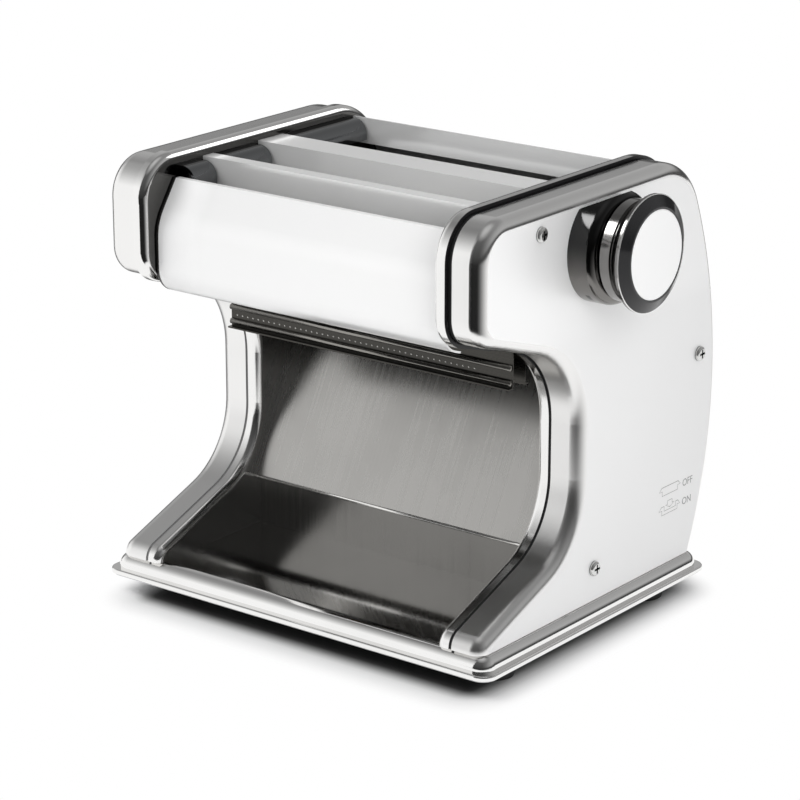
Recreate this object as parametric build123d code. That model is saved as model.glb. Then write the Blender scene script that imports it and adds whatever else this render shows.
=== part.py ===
from build123d import *
import os
from math import acos, asin, atan2, cos, degrees, hypot, pi, radians, sin, sqrt, tan

# Electric pasta maker: two hollow side casings on a pressed steel tray carry two sheet rollers and two
# pairs of cutters. A motor behind the noodle slide turns them through gears in the left casing, and a
# dial on the right casing sets the gap between the sheet rollers.
# All lengths are millimetres. +X runs along the rollers towards the dial, -Y is the front, +Z is up.
# The model is drawn about the middle of the tray, with Z = 0 on the bench, and write() moves every
# node so that the origin is the bottom centre of the whole machine's box.

# Fits and clearances
RUN_GAP = 0.06  # radial, a journal in its bush
SNUG_GAP = 0.02  # radial, a part fixed in its hole
FREE_GAP = 0.3  # between parts that pass each other
HOLE_GAP = 1.0  # radial, a part that passes through a cover

# Tray, bottom plate and feet
TRAY_SIDE_MARGIN = 7.0  # beyond the side faces of the casings
TRAY_DEPTH = 200.0
TRAY_CORNER = 8.0
TRAY_WALL = 1.0
FLANGE_WIDTH = 3.0
FLANGE_THICKNESS = 2.4
FLANGE_ROUND = 0.96
TRAY_RISE = 10.2
TRAY_EDGE_ROUND = 7.0
BOTTOM_PLATE_THICKNESS = 1.0
BOTTOM_PLATE_INSET = 1.2
FOOT_DIAMETER = 24.0
FOOT_HEIGHT = 9.0
FOOT_TAPER = 1.5
FOOT_SIDE_INSET = 20.0  # from the tray's sides to the middle of a foot
FOOT_END_INSET = 33.0  # from the tray's front and rear
FOOT_SCREW_DIAMETER = 4.0
FOOT_SCREW_HEAD_DIAMETER = 8.0
FOOT_SCREW_HEAD_HEIGHT = 3.0
FOOT_SCREW_HEAD_DEPTH = 2.5
SCREW_END_GAP = 1.0  # from a screw's end to the bottom of its hole
TRAY_BOSS_DIAMETER = 10.0

# Casing outline, a sickle in the YZ plane
HEAD_FRONT_Y = -98.0
HEAD_TOP_Z = 236.0
HEAD_FRONT_DROP = 58.7  # from the top down to the corner of the head's underside
HEAD_TOP_ROUND = 21.0
HEAD_BOTTOM_ROUND = 16.0
ARCH_DROP = 85.6  # from the top down to the corner where the head meets the leg
ARCH_ROUND = 46.0
LEG_FRONT_Y = -12.5
FOOT_BEND_RISE = 37.5  # from the tray floor up to the corner where the leg meets the toe
FOOT_BEND_ROUND = 43.0
TOE_FRONT_Y = -95.5
TOE_RISE = 6.3
TOE_ROUND = 8.5
BULGE_Y = 114.3
BULGE_RISE = 95.0  # from the tray floor up to the widest point of the rear
REAR_TOP_SETBACK = 31.56  # of the casing top's rear edge, in front of that point
REAR_TOP_ROUND = 38.0

# Casing layers, outwards from the middle
INNER_FACE_X = 91.0
INNER_CASING_DEPTH = 7.5
SEAM_DEPTH = 1.5
OUTER_CASING_DEPTH = 18.0
CASING_WALL = 2.0
WEB_THICKNESS = 1.5
INNER_HEAD_PROUD = 2.0  # how far the inner casing's head stands beyond the outer casing's
SEAM_INSET = 0.3
SEAM_WIDTH = 3.5
OUTER_EDGE_ROUND = 7.0
OUTER_HOLLOW_ROUND = 4.0
INNER_EDGE_ROUND = 4.0
INNER_HOLLOW_ROUND = 2.0
PLATE_THICKNESS = 3.0
PLATE_INSET = 6.0

# Casing screws and the posts they enter
SCREW_DIAMETER = 4.0
SCREW_LENGTH = 12.0
SCREW_HEAD_DIAMETER = 8.0
SCREW_HEAD_HEIGHT = 2.2
SCREW_HEAD_ROUND = 1.76
SCREW_SLOT_LENGTH = 4.8
SCREW_SLOT_WIDTH = 1.2
SCREW_SLOT_DEPTH = 1.0
TOP_SCREW_Y = -49.8
TOP_SCREW_DROP = 13.0  # below the casing top
REAR_SCREW_INSET = 18.6  # in front of the widest point of the rear
REAR_SCREW_RISE = 13.4  # above that point
TOE_SCREW_Y = 1.3
TOE_SCREW_RISE = 17.4  # above the tray floor
POST_DIAMETER = 9.0

# Tie rods between the frame plates
ROD_DIAMETER = 6.0
FRONT_ROD_INSET = 13.5  # behind the head's front
FRONT_ROD_DROP = 51.0  # below the casing top
REAR_ROD_INSET = 21.3  # in front of the widest point of the rear
REAR_ROD_DROP = 64.0
LOW_ROD_INSET = 30.3
LOW_ROD_RISE = 13.8  # above the tray floor
MIDDLE_ROD_Y = 24.0
ROD_NUT_ACROSS = 10.0
ROD_NUT_HEIGHT = 4.0

# Sheet metal between the casings
SHEET = 1.0
COVER_INSET = 7.0  # of the front plate behind the head's front
COVER_LEAN = 14.5  # how far its top edge leans back
COVER_TOP_DROP = 11.0  # its top edge below the casing top
COVER_BEND_DROP = 32.0  # the corner where it starts to lean back
COVER_BEND_ROUND = 25.0
COVER_ROLL_DROP = 66.0  # the corner where it rolls under the head
COVER_ROLL_ROUND = 14.0
COVER_ROLL_REACH = 14.0
COVER_ROLL_FALL = 4.6
SLOT_TOP_DROP = 4.0  # the bars' flat tops below the casing top
COVER_FOLD = 3.0
DIVIDER_FRONT_Y = -54.0
DIVIDER_WIDTH = 8.0
DIVIDER_LEG = 24.0
REAR_DIVIDER_FRONT_Y = -10.0
REAR_DIVIDER_WIDTH = 20.0
REAR_DIVIDER_LEG = 19.0
REAR_COVER_FRONT_Y = 70.0
REAR_COVER_LEG = 15.0
REAR_COVER_INSET = 4.0
REAR_COVER_DROP = 46.0  # from the casing top down to its lower edge
SLIDE_FRONT_Y = -18.0
SLIDE_FRONT_RISE = 27.8  # above the tray floor
SLIDE_REAR_Y = 50.0
SLIDE_REAR_DROP = 58.0  # below the casing top
SLIDE_LIP = 5.0
PANEL_Y = -12.0
PANEL_HEIGHT = 35.0
PANEL_FOOT = 10.0

# Dough cheeks at the ends of the three slots
CHEEK_X = 80.5
CHEEK_THICKNESS = 1.6
CHEEK_ROUND = 8.0
CHEEK_RISE_GAP = 1.4  # above the rollers
CHEEK_SIDE_GAP = 1.2
CHEEK_TOP_DROP = 1.5

# Rollers and cutters
BARREL_HALF = 80.0
JOURNAL_DIAMETER = 8.0
SHEET_ROLLER_DIAMETER = 30.0
SHEET_ROLLER_DROP = 33.0  # from the casing top down to the axes
SHEET_FRONT_Y = 24.8
SHEET_GAP = 0.3
SHEET_TRAVEL = 2.5
CUTTER_DROP = 38.0  # from the casing top down to the axes
CUTTER_DIAMETER = 17.4
CUTTER_GROOVE_DIAMETER = 14.2
CUT_HALF = 72.0
TAGLIATELLE_Y = -28.0
TAGLIATELLE_WIDTH = 6.0
SPAGHETTI_Y = -72.5
SPAGHETTI_WIDTH = 2.0
CUT_SIDE_GAP = 0.1
BUSH_WALL = 2.5
BUSH_FLANGE = 1.5
BUSH_FLANGE_WIDTH = 1.5

# Combs that strip the noodles, and scrapers under the sheet rollers
COMB_THICKNESS = 0.8
COMB_ANGLE = 25.0
COMB_GROOVE_GAP = 0.2
COMB_FINGER_LENGTH = 7.0
COMB_LEAN_LENGTH = 10.0
COMB_FINGER_GAP = 0.35
TAGLIATELLE_COMB_DROP = 62.0  # from the cutters' axes down to the hem
SPAGHETTI_COMB_DROP = 26.0
COMB_HEM = 4.0
SCRAPER_THICKNESS = 1.2
SCRAPER_ANGLE = 50.0
SCRAPER_LENGTH = 14.0
SCRAPER_GAP = 0.3

# Gear train in the left casing: modules, teeth and the three planes of the wheels
PRESSURE_ANGLE = 25.0
ADDENDUM = 0.9
DEDENDUM = 1.25
BACKLASH = 0.3
ROLLER_MODULE = 1.5
TRAIN_MODULE = 1.0
SHEET_TEETH = 20
SHEET_DRIVE_TEETH = 32
CUTTER_TEETH = 16
IDLER_TEETH = 34
MAIN_DRIVE_TEETH = 44
MAIN_INPUT_TEETH = 64
SECOND_PINION_TEETH = 14
SECOND_WHEEL_TEETH = 60
FIRST_PINION_TEETH = 14
FIRST_WHEEL_TEETH = 60
MOTOR_TEETH = 12
WHEEL_WIDTH = 4.0
WHEEL_PITCH = 5.0
WHEEL_START_X = 100.5
STUD_DIAMETER = 6.0
STUD_HEAD_DIAMETER = 9.0
STUD_HEAD_HEIGHT = 0.6
HUB_WALL = 2.0
SECOND_WHEEL_BEARING = -54.3
FIRST_WHEEL_BEARING = -49.5
MOTOR_BEARING = -52.3

# Motor
MOTOR_DIAMETER = 60.0
MOTOR_LENGTH = 92.0
MOTOR_EDGE_ROUND = 4.0
MOTOR_SHAFT_DIAMETER = 5.0
MOTOR_SHAFT_DEPTH = 20.0
MOTOR_PILOT_DIAMETER = 16.0
MOTOR_TAIL_DIAMETER = 22.0
MOTOR_TAIL_LENGTH = 6.0

# Thickness dial, its spindle, and the slides it pushes
DIAL_Y = 1.0
DIAL_RISE = 4.5  # above the axes of the sheet rollers
DIAL_TURN = 300.0
DIAL_PULL = 4.0
COLLAR_DIAMETER = 57.0
COLLAR_LENGTH = 15.0
COLLAR_ROUND = 5.0
COLLAR_BORE_DIAMETER = 38.0
COLLAR_TOP_REACH = 21.5  # from the dial's axis up to the collar's top at the side face
COLLAR_BOSS_DIAMETER = 16.0
COLLAR_FLOOR = 3.0
NECK_GAP = 0.6
NECK_RING_DIAMETER = 51.0
NECK_RING_LENGTH = 6.4
NECK_RING_EDGE = 1.2
NECK_GROOVE_DIAMETER = 49.0
NECK_GROOVE_LENGTH = 0.8
NECK_FLARE_DIAMETER = 56.4
NECK_LENGTH = 12.6
GRIP_DIAMETER = 59.0
GRIP_LENGTH = 1.6
BEVEL_LENGTH = 3.3
BEVEL_RIM = 1.0  # flat edge round the insert
INSERT_DIAMETER = 45.0
INSERT_THICKNESS = 1.6
INSERT_ROUND = 0.5
DIAL_WALL = 2.6
SPINDLE_DIAMETER = 8.0
SPINDLE_FLAT = 3.0  # from the axis
SPINDLE_HEAD_DIAMETER = 14.0
SPINDLE_HEAD_LENGTH = 2.0
SPINDLE_STUB_DIAMETER = 5.0
SPRING_WALL = 1.2
SPRING_CLOSED_LENGTH = 6.0  # with the dial pulled out
CAM_RADIUS = 8.0
CAM_POINTS = 24
SLIDE_THICKNESS = 3.5
SLIDE_OFFSET = 0.3  # off the frame plate
SLIDE_BAR_HEIGHT = 18.0
SLIDE_BAR_FRONT_REACH = 22.1  # from the rear roller's axis
SLIDE_BAR_REAR_REACH = 31.9
SLIDE_NOSE_HEIGHT = 8.0
GUIDE_DIAMETER = 5.0
GUIDE_HEAD_DIAMETER = 8.0
GUIDE_HEAD_HEIGHT = 0.7
GUIDE_HEAD_GAP = 0.2
FRONT_GUIDE_OFFSET = 15.1  # in front of the rear roller's axis
REAR_GUIDE_OFFSET = 15.9
CROSSBAR_OFFSET = 25.9
CROSSBAR_WIDTH = 5.0
CROSSBAR_HEIGHT = 9.0

# Power switch and cord inlet in the back cover
SWITCH_X = 62.0
SWITCH_WIDTH = 16.0
SWITCH_HEIGHT = 24.0
SWITCH_DEPTH = 16.0
SWITCH_WALL = 1.5
SWITCH_FLANGE = 2.5
SWITCH_FLANGE_THICKNESS = 2.0
SWITCH_TILT = 9.0
ROCKER_DEPTH = 5.0
ROCKER_DISH = 1.0  # its ends above its middle
ROCKER_DRAFT = 1.0
ROCKER_PIN_DIAMETER = 3.0
CORD_X = -62.0
CORD_RISE = 29.8  # above the tray floor
CORD_BORE_DIAMETER = 7.0
CORD_BUSH_DIAMETER = 12.0
CORD_FLANGE_DIAMETER = 18.0
CORD_FLANGE_THICKNESS = 2.5
CORD_BUSH_LENGTH = 14.0

# Places worked out from the sizes above
FLANGE_Z = FOOT_HEIGHT + BOTTOM_PLATE_THICKNESS
FLOOR_Z = FLANGE_Z + TRAY_RISE
SEAM_X = INNER_FACE_X + INNER_CASING_DEPTH
OUTER_CASING_X = SEAM_X + SEAM_DEPTH
SIDE_FACE_X = OUTER_CASING_X + OUTER_CASING_DEPTH
TRAY_WIDTH = 2 * (SIDE_FACE_X + TRAY_SIDE_MARGIN)
FOOT_X = TRAY_WIDTH / 2 - FOOT_SIDE_INSET
FOOT_Y = TRAY_DEPTH / 2 - FOOT_END_INSET
WEB_X = INNER_FACE_X + WEB_THICKNESS
PLATE_X = WEB_X + PLATE_THICKNESS
CASING_INSIDE_X = SIDE_FACE_X - CASING_WALL
SLOT_TOP_Z = HEAD_TOP_Z - SLOT_TOP_DROP
COVER_Y = HEAD_FRONT_Y + COVER_INSET
REAR_COVER_BOTTOM_Z = HEAD_TOP_Z - REAR_COVER_DROP
SLIDE_FRONT_Z = FLOOR_Z + SLIDE_FRONT_RISE
SLIDE_REAR_Z = HEAD_TOP_Z - SLIDE_REAR_DROP
SHEET_ROLLER_Z = HEAD_TOP_Z - SHEET_ROLLER_DROP
CUTTER_Z = HEAD_TOP_Z - CUTTER_DROP
DIAL_Z = SHEET_ROLLER_Z + DIAL_RISE
CORD_Z = FLOOR_Z + CORD_RISE
BULGE_Z = FLOOR_Z + BULGE_RISE
BULGE_TOP_RISE = HEAD_TOP_Z - BULGE_Z
BULGE_RADIUS = (REAR_TOP_SETBACK**2 + BULGE_TOP_RISE**2) / (2 * REAR_TOP_SETBACK)
BULGE_CENTRE_Y = BULGE_Y - BULGE_RADIUS
SHEET_REAR_Y = SHEET_FRONT_Y + SHEET_ROLLER_DIAMETER + SHEET_GAP
SLIDE_BAR_FRONT_Y = SHEET_REAR_Y - SLIDE_BAR_FRONT_REACH
SLIDE_BAR_REAR_Y = SHEET_REAR_Y + SLIDE_BAR_REAR_REACH
GUIDE_PLACES = [SHEET_REAR_Y - FRONT_GUIDE_OFFSET, SHEET_REAR_Y + REAR_GUIDE_OFFSET]
CROSSBAR_Y = SHEET_REAR_Y + CROSSBAR_OFFSET
CUTTER_HALF_SPACING = TRAIN_MODULE * CUTTER_TEETH / 2
SLIDE_X = PLATE_X + SLIDE_OFFSET
BACK_COVER_RADIUS = BULGE_RADIUS - REAR_COVER_INSET
COLLAR_END_X = SIDE_FACE_X + COLLAR_LENGTH
NECK_X = COLLAR_END_X + NECK_GAP
GRIP_X = NECK_X + NECK_LENGTH
BEVEL_X = GRIP_X + GRIP_LENGTH
DIAL_END_X = BEVEL_X + BEVEL_LENGTH
INSERT_X = DIAL_END_X - INSERT_THICKNESS
SHOULDER_X = NECK_X + DIAL_WALL
SPINDLE_HEAD_X = SHOULDER_X + SPRING_CLOSED_LENGTH + DIAL_PULL
SCREW_PLACES = [
    (TOP_SCREW_Y, HEAD_TOP_Z - TOP_SCREW_DROP),
    (BULGE_Y - REAR_SCREW_INSET, BULGE_Z + REAR_SCREW_RISE),
    (TOE_SCREW_Y, FLOOR_Z + TOE_SCREW_RISE),
]
ROD_PLACES = [
    (HEAD_FRONT_Y + FRONT_ROD_INSET, HEAD_TOP_Z - FRONT_ROD_DROP),
    (BULGE_Y - REAR_ROD_INSET, HEAD_TOP_Z - REAR_ROD_DROP),
    (BULGE_Y - LOW_ROD_INSET, FLOOR_Z + LOW_ROD_RISE),
    (MIDDLE_ROD_Y, FLOOR_Z + LOW_ROD_RISE),
]
SIDES = {"left": -1, "right": 1}
CUTTERS = {
    "tagliatelle": (TAGLIATELLE_Y, TAGLIATELLE_WIDTH, CUTTER_Z - TAGLIATELLE_COMB_DROP),
    "spaghetti": (SPAGHETTI_Y, SPAGHETTI_WIDTH, CUTTER_Z - SPAGHETTI_COMB_DROP),
}


def wheel_x(plane):
    """Inner face of one of the three wheel planes in the left casing."""
    return WHEEL_START_X + plane * WHEEL_PITCH


def wheel_centre(start, teeth_a, teeth_b, bearing):
    """Centre of a wheel that meshes with the one at start, in the direction bearing (degrees)."""
    reach = TRAIN_MODULE * (teeth_a + teeth_b) / 2
    return (start[0] + reach * cos(radians(bearing)), start[1] + reach * sin(radians(bearing)))


def common_centre(a, reach_a, b, reach_b):
    """Point below the line from a to b at the given distance from each."""
    span = hypot(b[0] - a[0], b[1] - a[1])
    along = (reach_a**2 - reach_b**2 + span**2) / (2 * span)
    below = sqrt(reach_a**2 - along**2)
    unit = ((b[0] - a[0]) / span, (b[1] - a[1]) / span)
    return (a[0] + unit[0] * along + unit[1] * below, a[1] + unit[1] * along - unit[0] * below)


def cutter_centre(middle_y, side):
    """Axis of the front (-1) or rear (1) cutter of a pair."""
    return (middle_y + side * CUTTER_HALF_SPACING, CUTTER_Z)


SHEET_FRONT = (SHEET_FRONT_Y, SHEET_ROLLER_Z)
SHEET_REAR = (SHEET_REAR_Y, SHEET_ROLLER_Z)
TAGLIATELLE_FRONT = cutter_centre(TAGLIATELLE_Y, -1)
SPAGHETTI_FRONT = cutter_centre(SPAGHETTI_Y, -1)
MAIN_WHEEL = common_centre(
    TAGLIATELLE_FRONT,
    TRAIN_MODULE * (MAIN_DRIVE_TEETH + CUTTER_TEETH) / 2,
    SHEET_FRONT,
    TRAIN_MODULE * (MAIN_DRIVE_TEETH + SHEET_DRIVE_TEETH) / 2,
)
IDLER_REACH = TRAIN_MODULE * (IDLER_TEETH + CUTTER_TEETH) / 2
IDLER_WHEEL = common_centre(SPAGHETTI_FRONT, IDLER_REACH, TAGLIATELLE_FRONT, IDLER_REACH)
SECOND_WHEEL = wheel_centre(MAIN_WHEEL, MAIN_INPUT_TEETH, SECOND_PINION_TEETH, SECOND_WHEEL_BEARING)
FIRST_WHEEL = wheel_centre(SECOND_WHEEL, SECOND_WHEEL_TEETH, FIRST_PINION_TEETH, FIRST_WHEEL_BEARING)
MOTOR_AXIS = wheel_centre(FIRST_WHEEL, FIRST_WHEEL_TEETH, MOTOR_TEETH, MOTOR_BEARING)


# General shapes
def side_plane(x):
    """Plane across the machine at x: its own x is the machine's Y, its own y is the machine's Z."""
    return Plane(origin=(x, 0, 0), x_dir=(0, 1, 0), z_dir=(1, 0, 0))


def along_x(face, x_from, x_to):
    """Solid of a face drawn in YZ, from x_from to x_to."""
    return extrude(side_plane(x_from) * face, x_to - x_from, dir=(1, 0, 0))


def rod(centre, diameter, x_from, x_to):
    return along_x(Pos(*centre) * Circle(diameter / 2), x_from, x_to)


def tube(centre, outer, inner, x_from, x_to):
    return rod(centre, outer, x_from, x_to) - rod(centre, inner, x_from, x_to)


def block(x_range, y_range, z_range):
    """Box between two corners given as ranges."""
    size = [abs(r[1] - r[0]) for r in (x_range, y_range, z_range)]
    middle = [(r[0] + r[1]) / 2 for r in (x_range, y_range, z_range)]
    return Pos(*middle) * Box(*size)


def window(y_range, z_range):
    """Rectangle in YZ between two corners."""
    middle = ((y_range[0] + y_range[1]) / 2, (z_range[0] + z_range[1]) / 2)
    return Pos(*middle) * Rectangle(y_range[1] - y_range[0], z_range[1] - z_range[0])


def strip(points, thickness):
    """Bent sheet in YZ whose left side, seen along the points, is the line through the points."""
    line = Polyline(*points)
    return make_face(offset(line, amount=thickness, side=Side.LEFT, closed=True))


def on_side(solid, side):
    """A piece made for the right side, or its mirror image for the left."""
    return solid if side > 0 else mirror(solid, about=Plane.YZ)


def write(name, *solids):
    """Save one node, moved so that the origin is the bottom centre of the machine's box."""
    middle_x = (DIAL_END_X - TRAY_WIDTH / 2) / 2
    middle_y = (BULGE_Y - TRAY_DEPTH / 2) / 2
    moved = [Pos(-middle_x, -middle_y, 0) * solid for solid in solids]
    shape = moved[0] if len(moved) == 1 else Compound(children=moved)
    export_step(shape, "parts/" + name + ".step")


# Casings
def casing_outline(proud):
    """Outline of a casing in YZ: head, arch, leg, toe and bulging rear. The head can stand proud."""
    rear_bottom_y = BULGE_CENTRE_Y + sqrt(BULGE_RADIUS**2 - BULGE_RISE**2)
    front_y = HEAD_FRONT_Y - proud
    top_z = HEAD_TOP_Z + proud
    rear_top_y = BULGE_CENTRE_Y + sqrt(BULGE_RADIUS**2 - (top_z - BULGE_Z) ** 2)
    corners = [
        ((front_y, top_z), HEAD_TOP_ROUND + proud),
        ((front_y, HEAD_TOP_Z - HEAD_FRONT_DROP - proud), HEAD_BOTTOM_ROUND + proud),
        ((LEG_FRONT_Y, HEAD_TOP_Z - ARCH_DROP), ARCH_ROUND),
        ((LEG_FRONT_Y, FLOOR_Z + FOOT_BEND_RISE), FOOT_BEND_ROUND),
        ((TOE_FRONT_Y, FLOOR_Z + TOE_RISE), TOE_ROUND),
    ]
    points = [(rear_top_y, top_z)] + [corner for corner, _ in corners]
    points += [(TOE_FRONT_Y, FLOOR_Z), (rear_bottom_y, FLOOR_Z)]
    edges = Polyline(*points)
    bulge = ThreePointArc((rear_bottom_y, FLOOR_Z), (BULGE_Y, BULGE_Z), (rear_top_y, top_z))
    face = make_face(edges + bulge)
    for corner, radius in corners + [((rear_top_y, top_z), REAR_TOP_ROUND)]:
        face = fillet(face.vertices().sort_by_distance((corner[0], corner[1], 0))[0], radius)
    return face


OUTLINE = casing_outline(0)
INNER_OUTLINE = casing_outline(INNER_HEAD_PROUD)


def inset(distance, outline=OUTLINE):
    return offset(outline, amount=-distance) if distance else outline


def rounded_casing(face, x_from, x_to, radius, round_x):
    """Block of a casing outline, its edge at round_x rounded all along except at the tray floor."""
    body = along_x(face, x_from, x_to)
    floor = body.bounding_box().min.Z
    rim = body.edges().filter_by(lambda e: abs(e.center().X - round_x) < 0.01)
    rim = rim.filter_by(lambda e: e.bounding_box().max.Z > floor + 0.01)
    return fillet(rim, radius)


def outer_casing(side):
    """Pressed steel cover, open towards the middle, with screw holes and, on the right, the dial hole."""
    outside = rounded_casing(OUTLINE, OUTER_CASING_X, SIDE_FACE_X, OUTER_EDGE_ROUND, SIDE_FACE_X)
    inside = rounded_casing(
        inset(CASING_WALL), OUTER_CASING_X, CASING_INSIDE_X, OUTER_HOLLOW_ROUND, CASING_INSIDE_X
    )
    shell = outside - inside
    for place in SCREW_PLACES:
        shell -= rod(place, SCREW_DIAMETER + 2 * FREE_GAP, CASING_INSIDE_X, SIDE_FACE_X)
    if side > 0:
        hole = COLLAR_BOSS_DIAMETER + 2 * FREE_GAP
        shell -= rod((DIAL_Y, DIAL_Z), hole, CASING_INSIDE_X, SIDE_FACE_X)
    return on_side(shell, side)


def crossbar_window():
    """Opening for the crossbar over its whole travel."""
    half = CROSSBAR_WIDTH / 2 + HOLE_GAP
    middle_z = SHEET_ROLLER_Z
    height = CROSSBAR_HEIGHT / 2 + HOLE_GAP
    return window(
        (CROSSBAR_Y - half, CROSSBAR_Y + half + SHEET_TRAVEL), (middle_z - height, middle_z + height)
    )


def journal_slot(clearance):
    """Opening for the rear sheet roller's journal over its whole travel."""
    width = JOURNAL_DIAMETER + 2 * clearance
    middle = SHEET_REAR_Y + SHEET_TRAVEL / 2
    return Pos(middle, SHEET_ROLLER_Z) * SlotOverall(width + SHEET_TRAVEL, width)


def fixed_journals():
    """Axes of the rollers and cutters that run in bushes in the frame plates."""
    places = [SHEET_FRONT]
    for middle_y, _, _ in CUTTERS.values():
        places += [cutter_centre(middle_y, -1), cutter_centre(middle_y, 1)]
    return places


def inner_casing(side):
    """Pressed steel shell that faces the rollers, open away from them, pierced for the shafts."""
    outside = rounded_casing(INNER_OUTLINE, INNER_FACE_X, SEAM_X, INNER_EDGE_ROUND, INNER_FACE_X)
    hollow = inset(CASING_WALL, INNER_OUTLINE)
    inside = rounded_casing(hollow, WEB_X, SEAM_X, INNER_HOLLOW_ROUND, WEB_X)
    shell = outside - inside
    flange = JOURNAL_DIAMETER + 2 * (BUSH_WALL + BUSH_FLANGE_WIDTH + FREE_GAP)
    for place in fixed_journals():
        shell -= rod(place, flange, INNER_FACE_X, WEB_X)
    for place in ROD_PLACES:
        shell -= rod(place, ROD_DIAMETER + 2 * FREE_GAP, INNER_FACE_X, WEB_X)
    shell -= along_x(journal_slot(HOLE_GAP + FREE_GAP), INNER_FACE_X, WEB_X)
    shell -= along_x(crossbar_window(), INNER_FACE_X, WEB_X)
    if side < 0:
        shell -= rod(MOTOR_AXIS, MOTOR_PILOT_DIAMETER + 2 * SNUG_GAP, INNER_FACE_X, WEB_X)
    return on_side(shell, side)


def seam(side):
    """Black gasket between the inner and outer casing, set a little back from the outer one."""
    ring = inset(SEAM_INSET) - inset(SEAM_INSET + SEAM_WIDTH)
    return on_side(along_x(ring, SEAM_X, OUTER_CASING_X), side)


def stud(place, head_x):
    """Riveted stud with a head that keeps a wheel on it."""
    shank = rod(place, STUD_DIAMETER, PLATE_X, head_x)
    return shank + rod(place, STUD_HEAD_DIAMETER, head_x, head_x + STUD_HEAD_HEIGHT)


def frame_plate(side):
    """Steel plate inside a casing with riveted screw posts, slide guides and, on the left, wheel studs."""
    plate = along_x(inset(PLATE_INSET), WEB_X, PLATE_X)
    for place in fixed_journals():
        plate -= rod(place, JOURNAL_DIAMETER + 2 * BUSH_WALL, WEB_X, PLATE_X)
    for place in ROD_PLACES:
        plate -= rod(place, ROD_DIAMETER + 2 * SNUG_GAP, WEB_X, PLATE_X)
    plate -= along_x(journal_slot(HOLE_GAP), WEB_X, PLATE_X)
    plate -= along_x(crossbar_window(), WEB_X, PLATE_X)
    for place in SCREW_PLACES:
        plate += rod(place, POST_DIAMETER, PLATE_X, CASING_INSIDE_X)
        bore = SCREW_DIAMETER + 2 * SNUG_GAP
        plate -= rod(place, bore, CASING_INSIDE_X - SCREW_LENGTH, CASING_INSIDE_X)
    for guide_y in GUIDE_PLACES:
        place = (guide_y, SHEET_ROLLER_Z)
        head_x = SLIDE_X + SLIDE_THICKNESS + GUIDE_HEAD_GAP
        plate += rod(place, GUIDE_DIAMETER, PLATE_X, head_x)
        plate += rod(place, GUIDE_HEAD_DIAMETER, head_x, head_x + GUIDE_HEAD_HEIGHT)
    if side > 0:
        stub = SPINDLE_STUB_DIAMETER + 2 * RUN_GAP
        plate -= rod((DIAL_Y, DIAL_Z), stub, WEB_X, PLATE_X)
    else:
        plate -= rod(MOTOR_AXIS, MOTOR_PILOT_DIAMETER + 2 * SNUG_GAP, WEB_X, PLATE_X)
        for place, top_plane in ((MAIN_WHEEL, 2), (SECOND_WHEEL, 2), (FIRST_WHEEL, 1), (IDLER_WHEEL, 1)):
            plate += stud(place, wheel_x(top_plane) + WHEEL_WIDTH + FREE_GAP)
    return on_side(plate, side)


def casing_screw(place):
    """Domed cross-head screw in the side face, entering a frame-plate post."""
    head = rod(place, SCREW_HEAD_DIAMETER, SIDE_FACE_X, SIDE_FACE_X + SCREW_HEAD_HEIGHT)
    head = fillet(head.edges().sort_by(Axis.X)[-1], SCREW_HEAD_ROUND)
    slot_x = (SIDE_FACE_X + SCREW_HEAD_HEIGHT - SCREW_SLOT_DEPTH, SIDE_FACE_X + SCREW_HEAD_HEIGHT)
    long = SCREW_SLOT_LENGTH / 2
    short = SCREW_SLOT_WIDTH / 2
    for half_y, half_z in ((long, short), (short, long)):
        y_range = (place[0] - half_y, place[0] + half_y)
        z_range = (place[1] - half_z, place[1] + half_z)
        head -= block(slot_x, y_range, z_range)
    return head + rod(place, SCREW_DIAMETER, CASING_INSIDE_X - SCREW_LENGTH + SCREW_END_GAP, SIDE_FACE_X)


def tie_rods():
    """Rods that hold the two frame plates apart, threaded through them at the ends."""
    end = PLATE_X + ROD_NUT_HEIGHT
    return [rod(place, ROD_DIAMETER, -end, end) for place in ROD_PLACES]


def rod_nuts():
    nuts = []
    for place in ROD_PLACES:
        face = Pos(*place) * (RegularPolygon(ROD_NUT_ACROSS / 2, 6, major_radius=False))
        face -= Pos(*place) * Circle(ROD_DIAMETER / 2 + SNUG_GAP)
        nut = along_x(face, PLATE_X, PLATE_X + ROD_NUT_HEIGHT)
        nuts += [nut, mirror(nut, about=Plane.YZ)]
    return nuts


# Tray, bottom plate and feet
def foot_places():
    return {
        "foot_front_left": (-FOOT_X, -FOOT_Y),
        "foot_front_right": (FOOT_X, -FOOT_Y),
        "foot_rear_left": (-FOOT_X, FOOT_Y),
        "foot_rear_right": (FOOT_X, FOOT_Y),
    }


def tray():
    """Inverted pan with a thin flange all round and four bosses under it for the foot screws."""
    flange = extrude(RectangleRounded(TRAY_WIDTH, TRAY_DEPTH, TRAY_CORNER), FLANGE_THICKNESS)
    flange = fillet(flange.edges().group_by(Axis.Z)[-1], FLANGE_ROUND)
    width = TRAY_WIDTH - 2 * FLANGE_WIDTH
    depth = TRAY_DEPTH - 2 * FLANGE_WIDTH
    pan = extrude(RectangleRounded(width, depth, TRAY_CORNER), TRAY_RISE)
    pan = fillet(pan.edges().group_by(Axis.Z)[-1], TRAY_EDGE_ROUND)
    hollow = extrude(
        RectangleRounded(width - 2 * TRAY_WALL, depth - 2 * TRAY_WALL, TRAY_CORNER - TRAY_WALL),
        TRAY_RISE - TRAY_WALL,
    )
    hollow = fillet(hollow.edges().group_by(Axis.Z)[-1], TRAY_EDGE_ROUND - TRAY_WALL)
    body = flange + pan - hollow
    for x, y in foot_places().values():
        boss = Circle(TRAY_BOSS_DIAMETER / 2) - Circle(FOOT_SCREW_DIAMETER / 2 + SNUG_GAP)
        body += Pos(x, y) * extrude(boss, TRAY_RISE - TRAY_WALL)
    return Pos(0, 0, FLANGE_Z) * body


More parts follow.
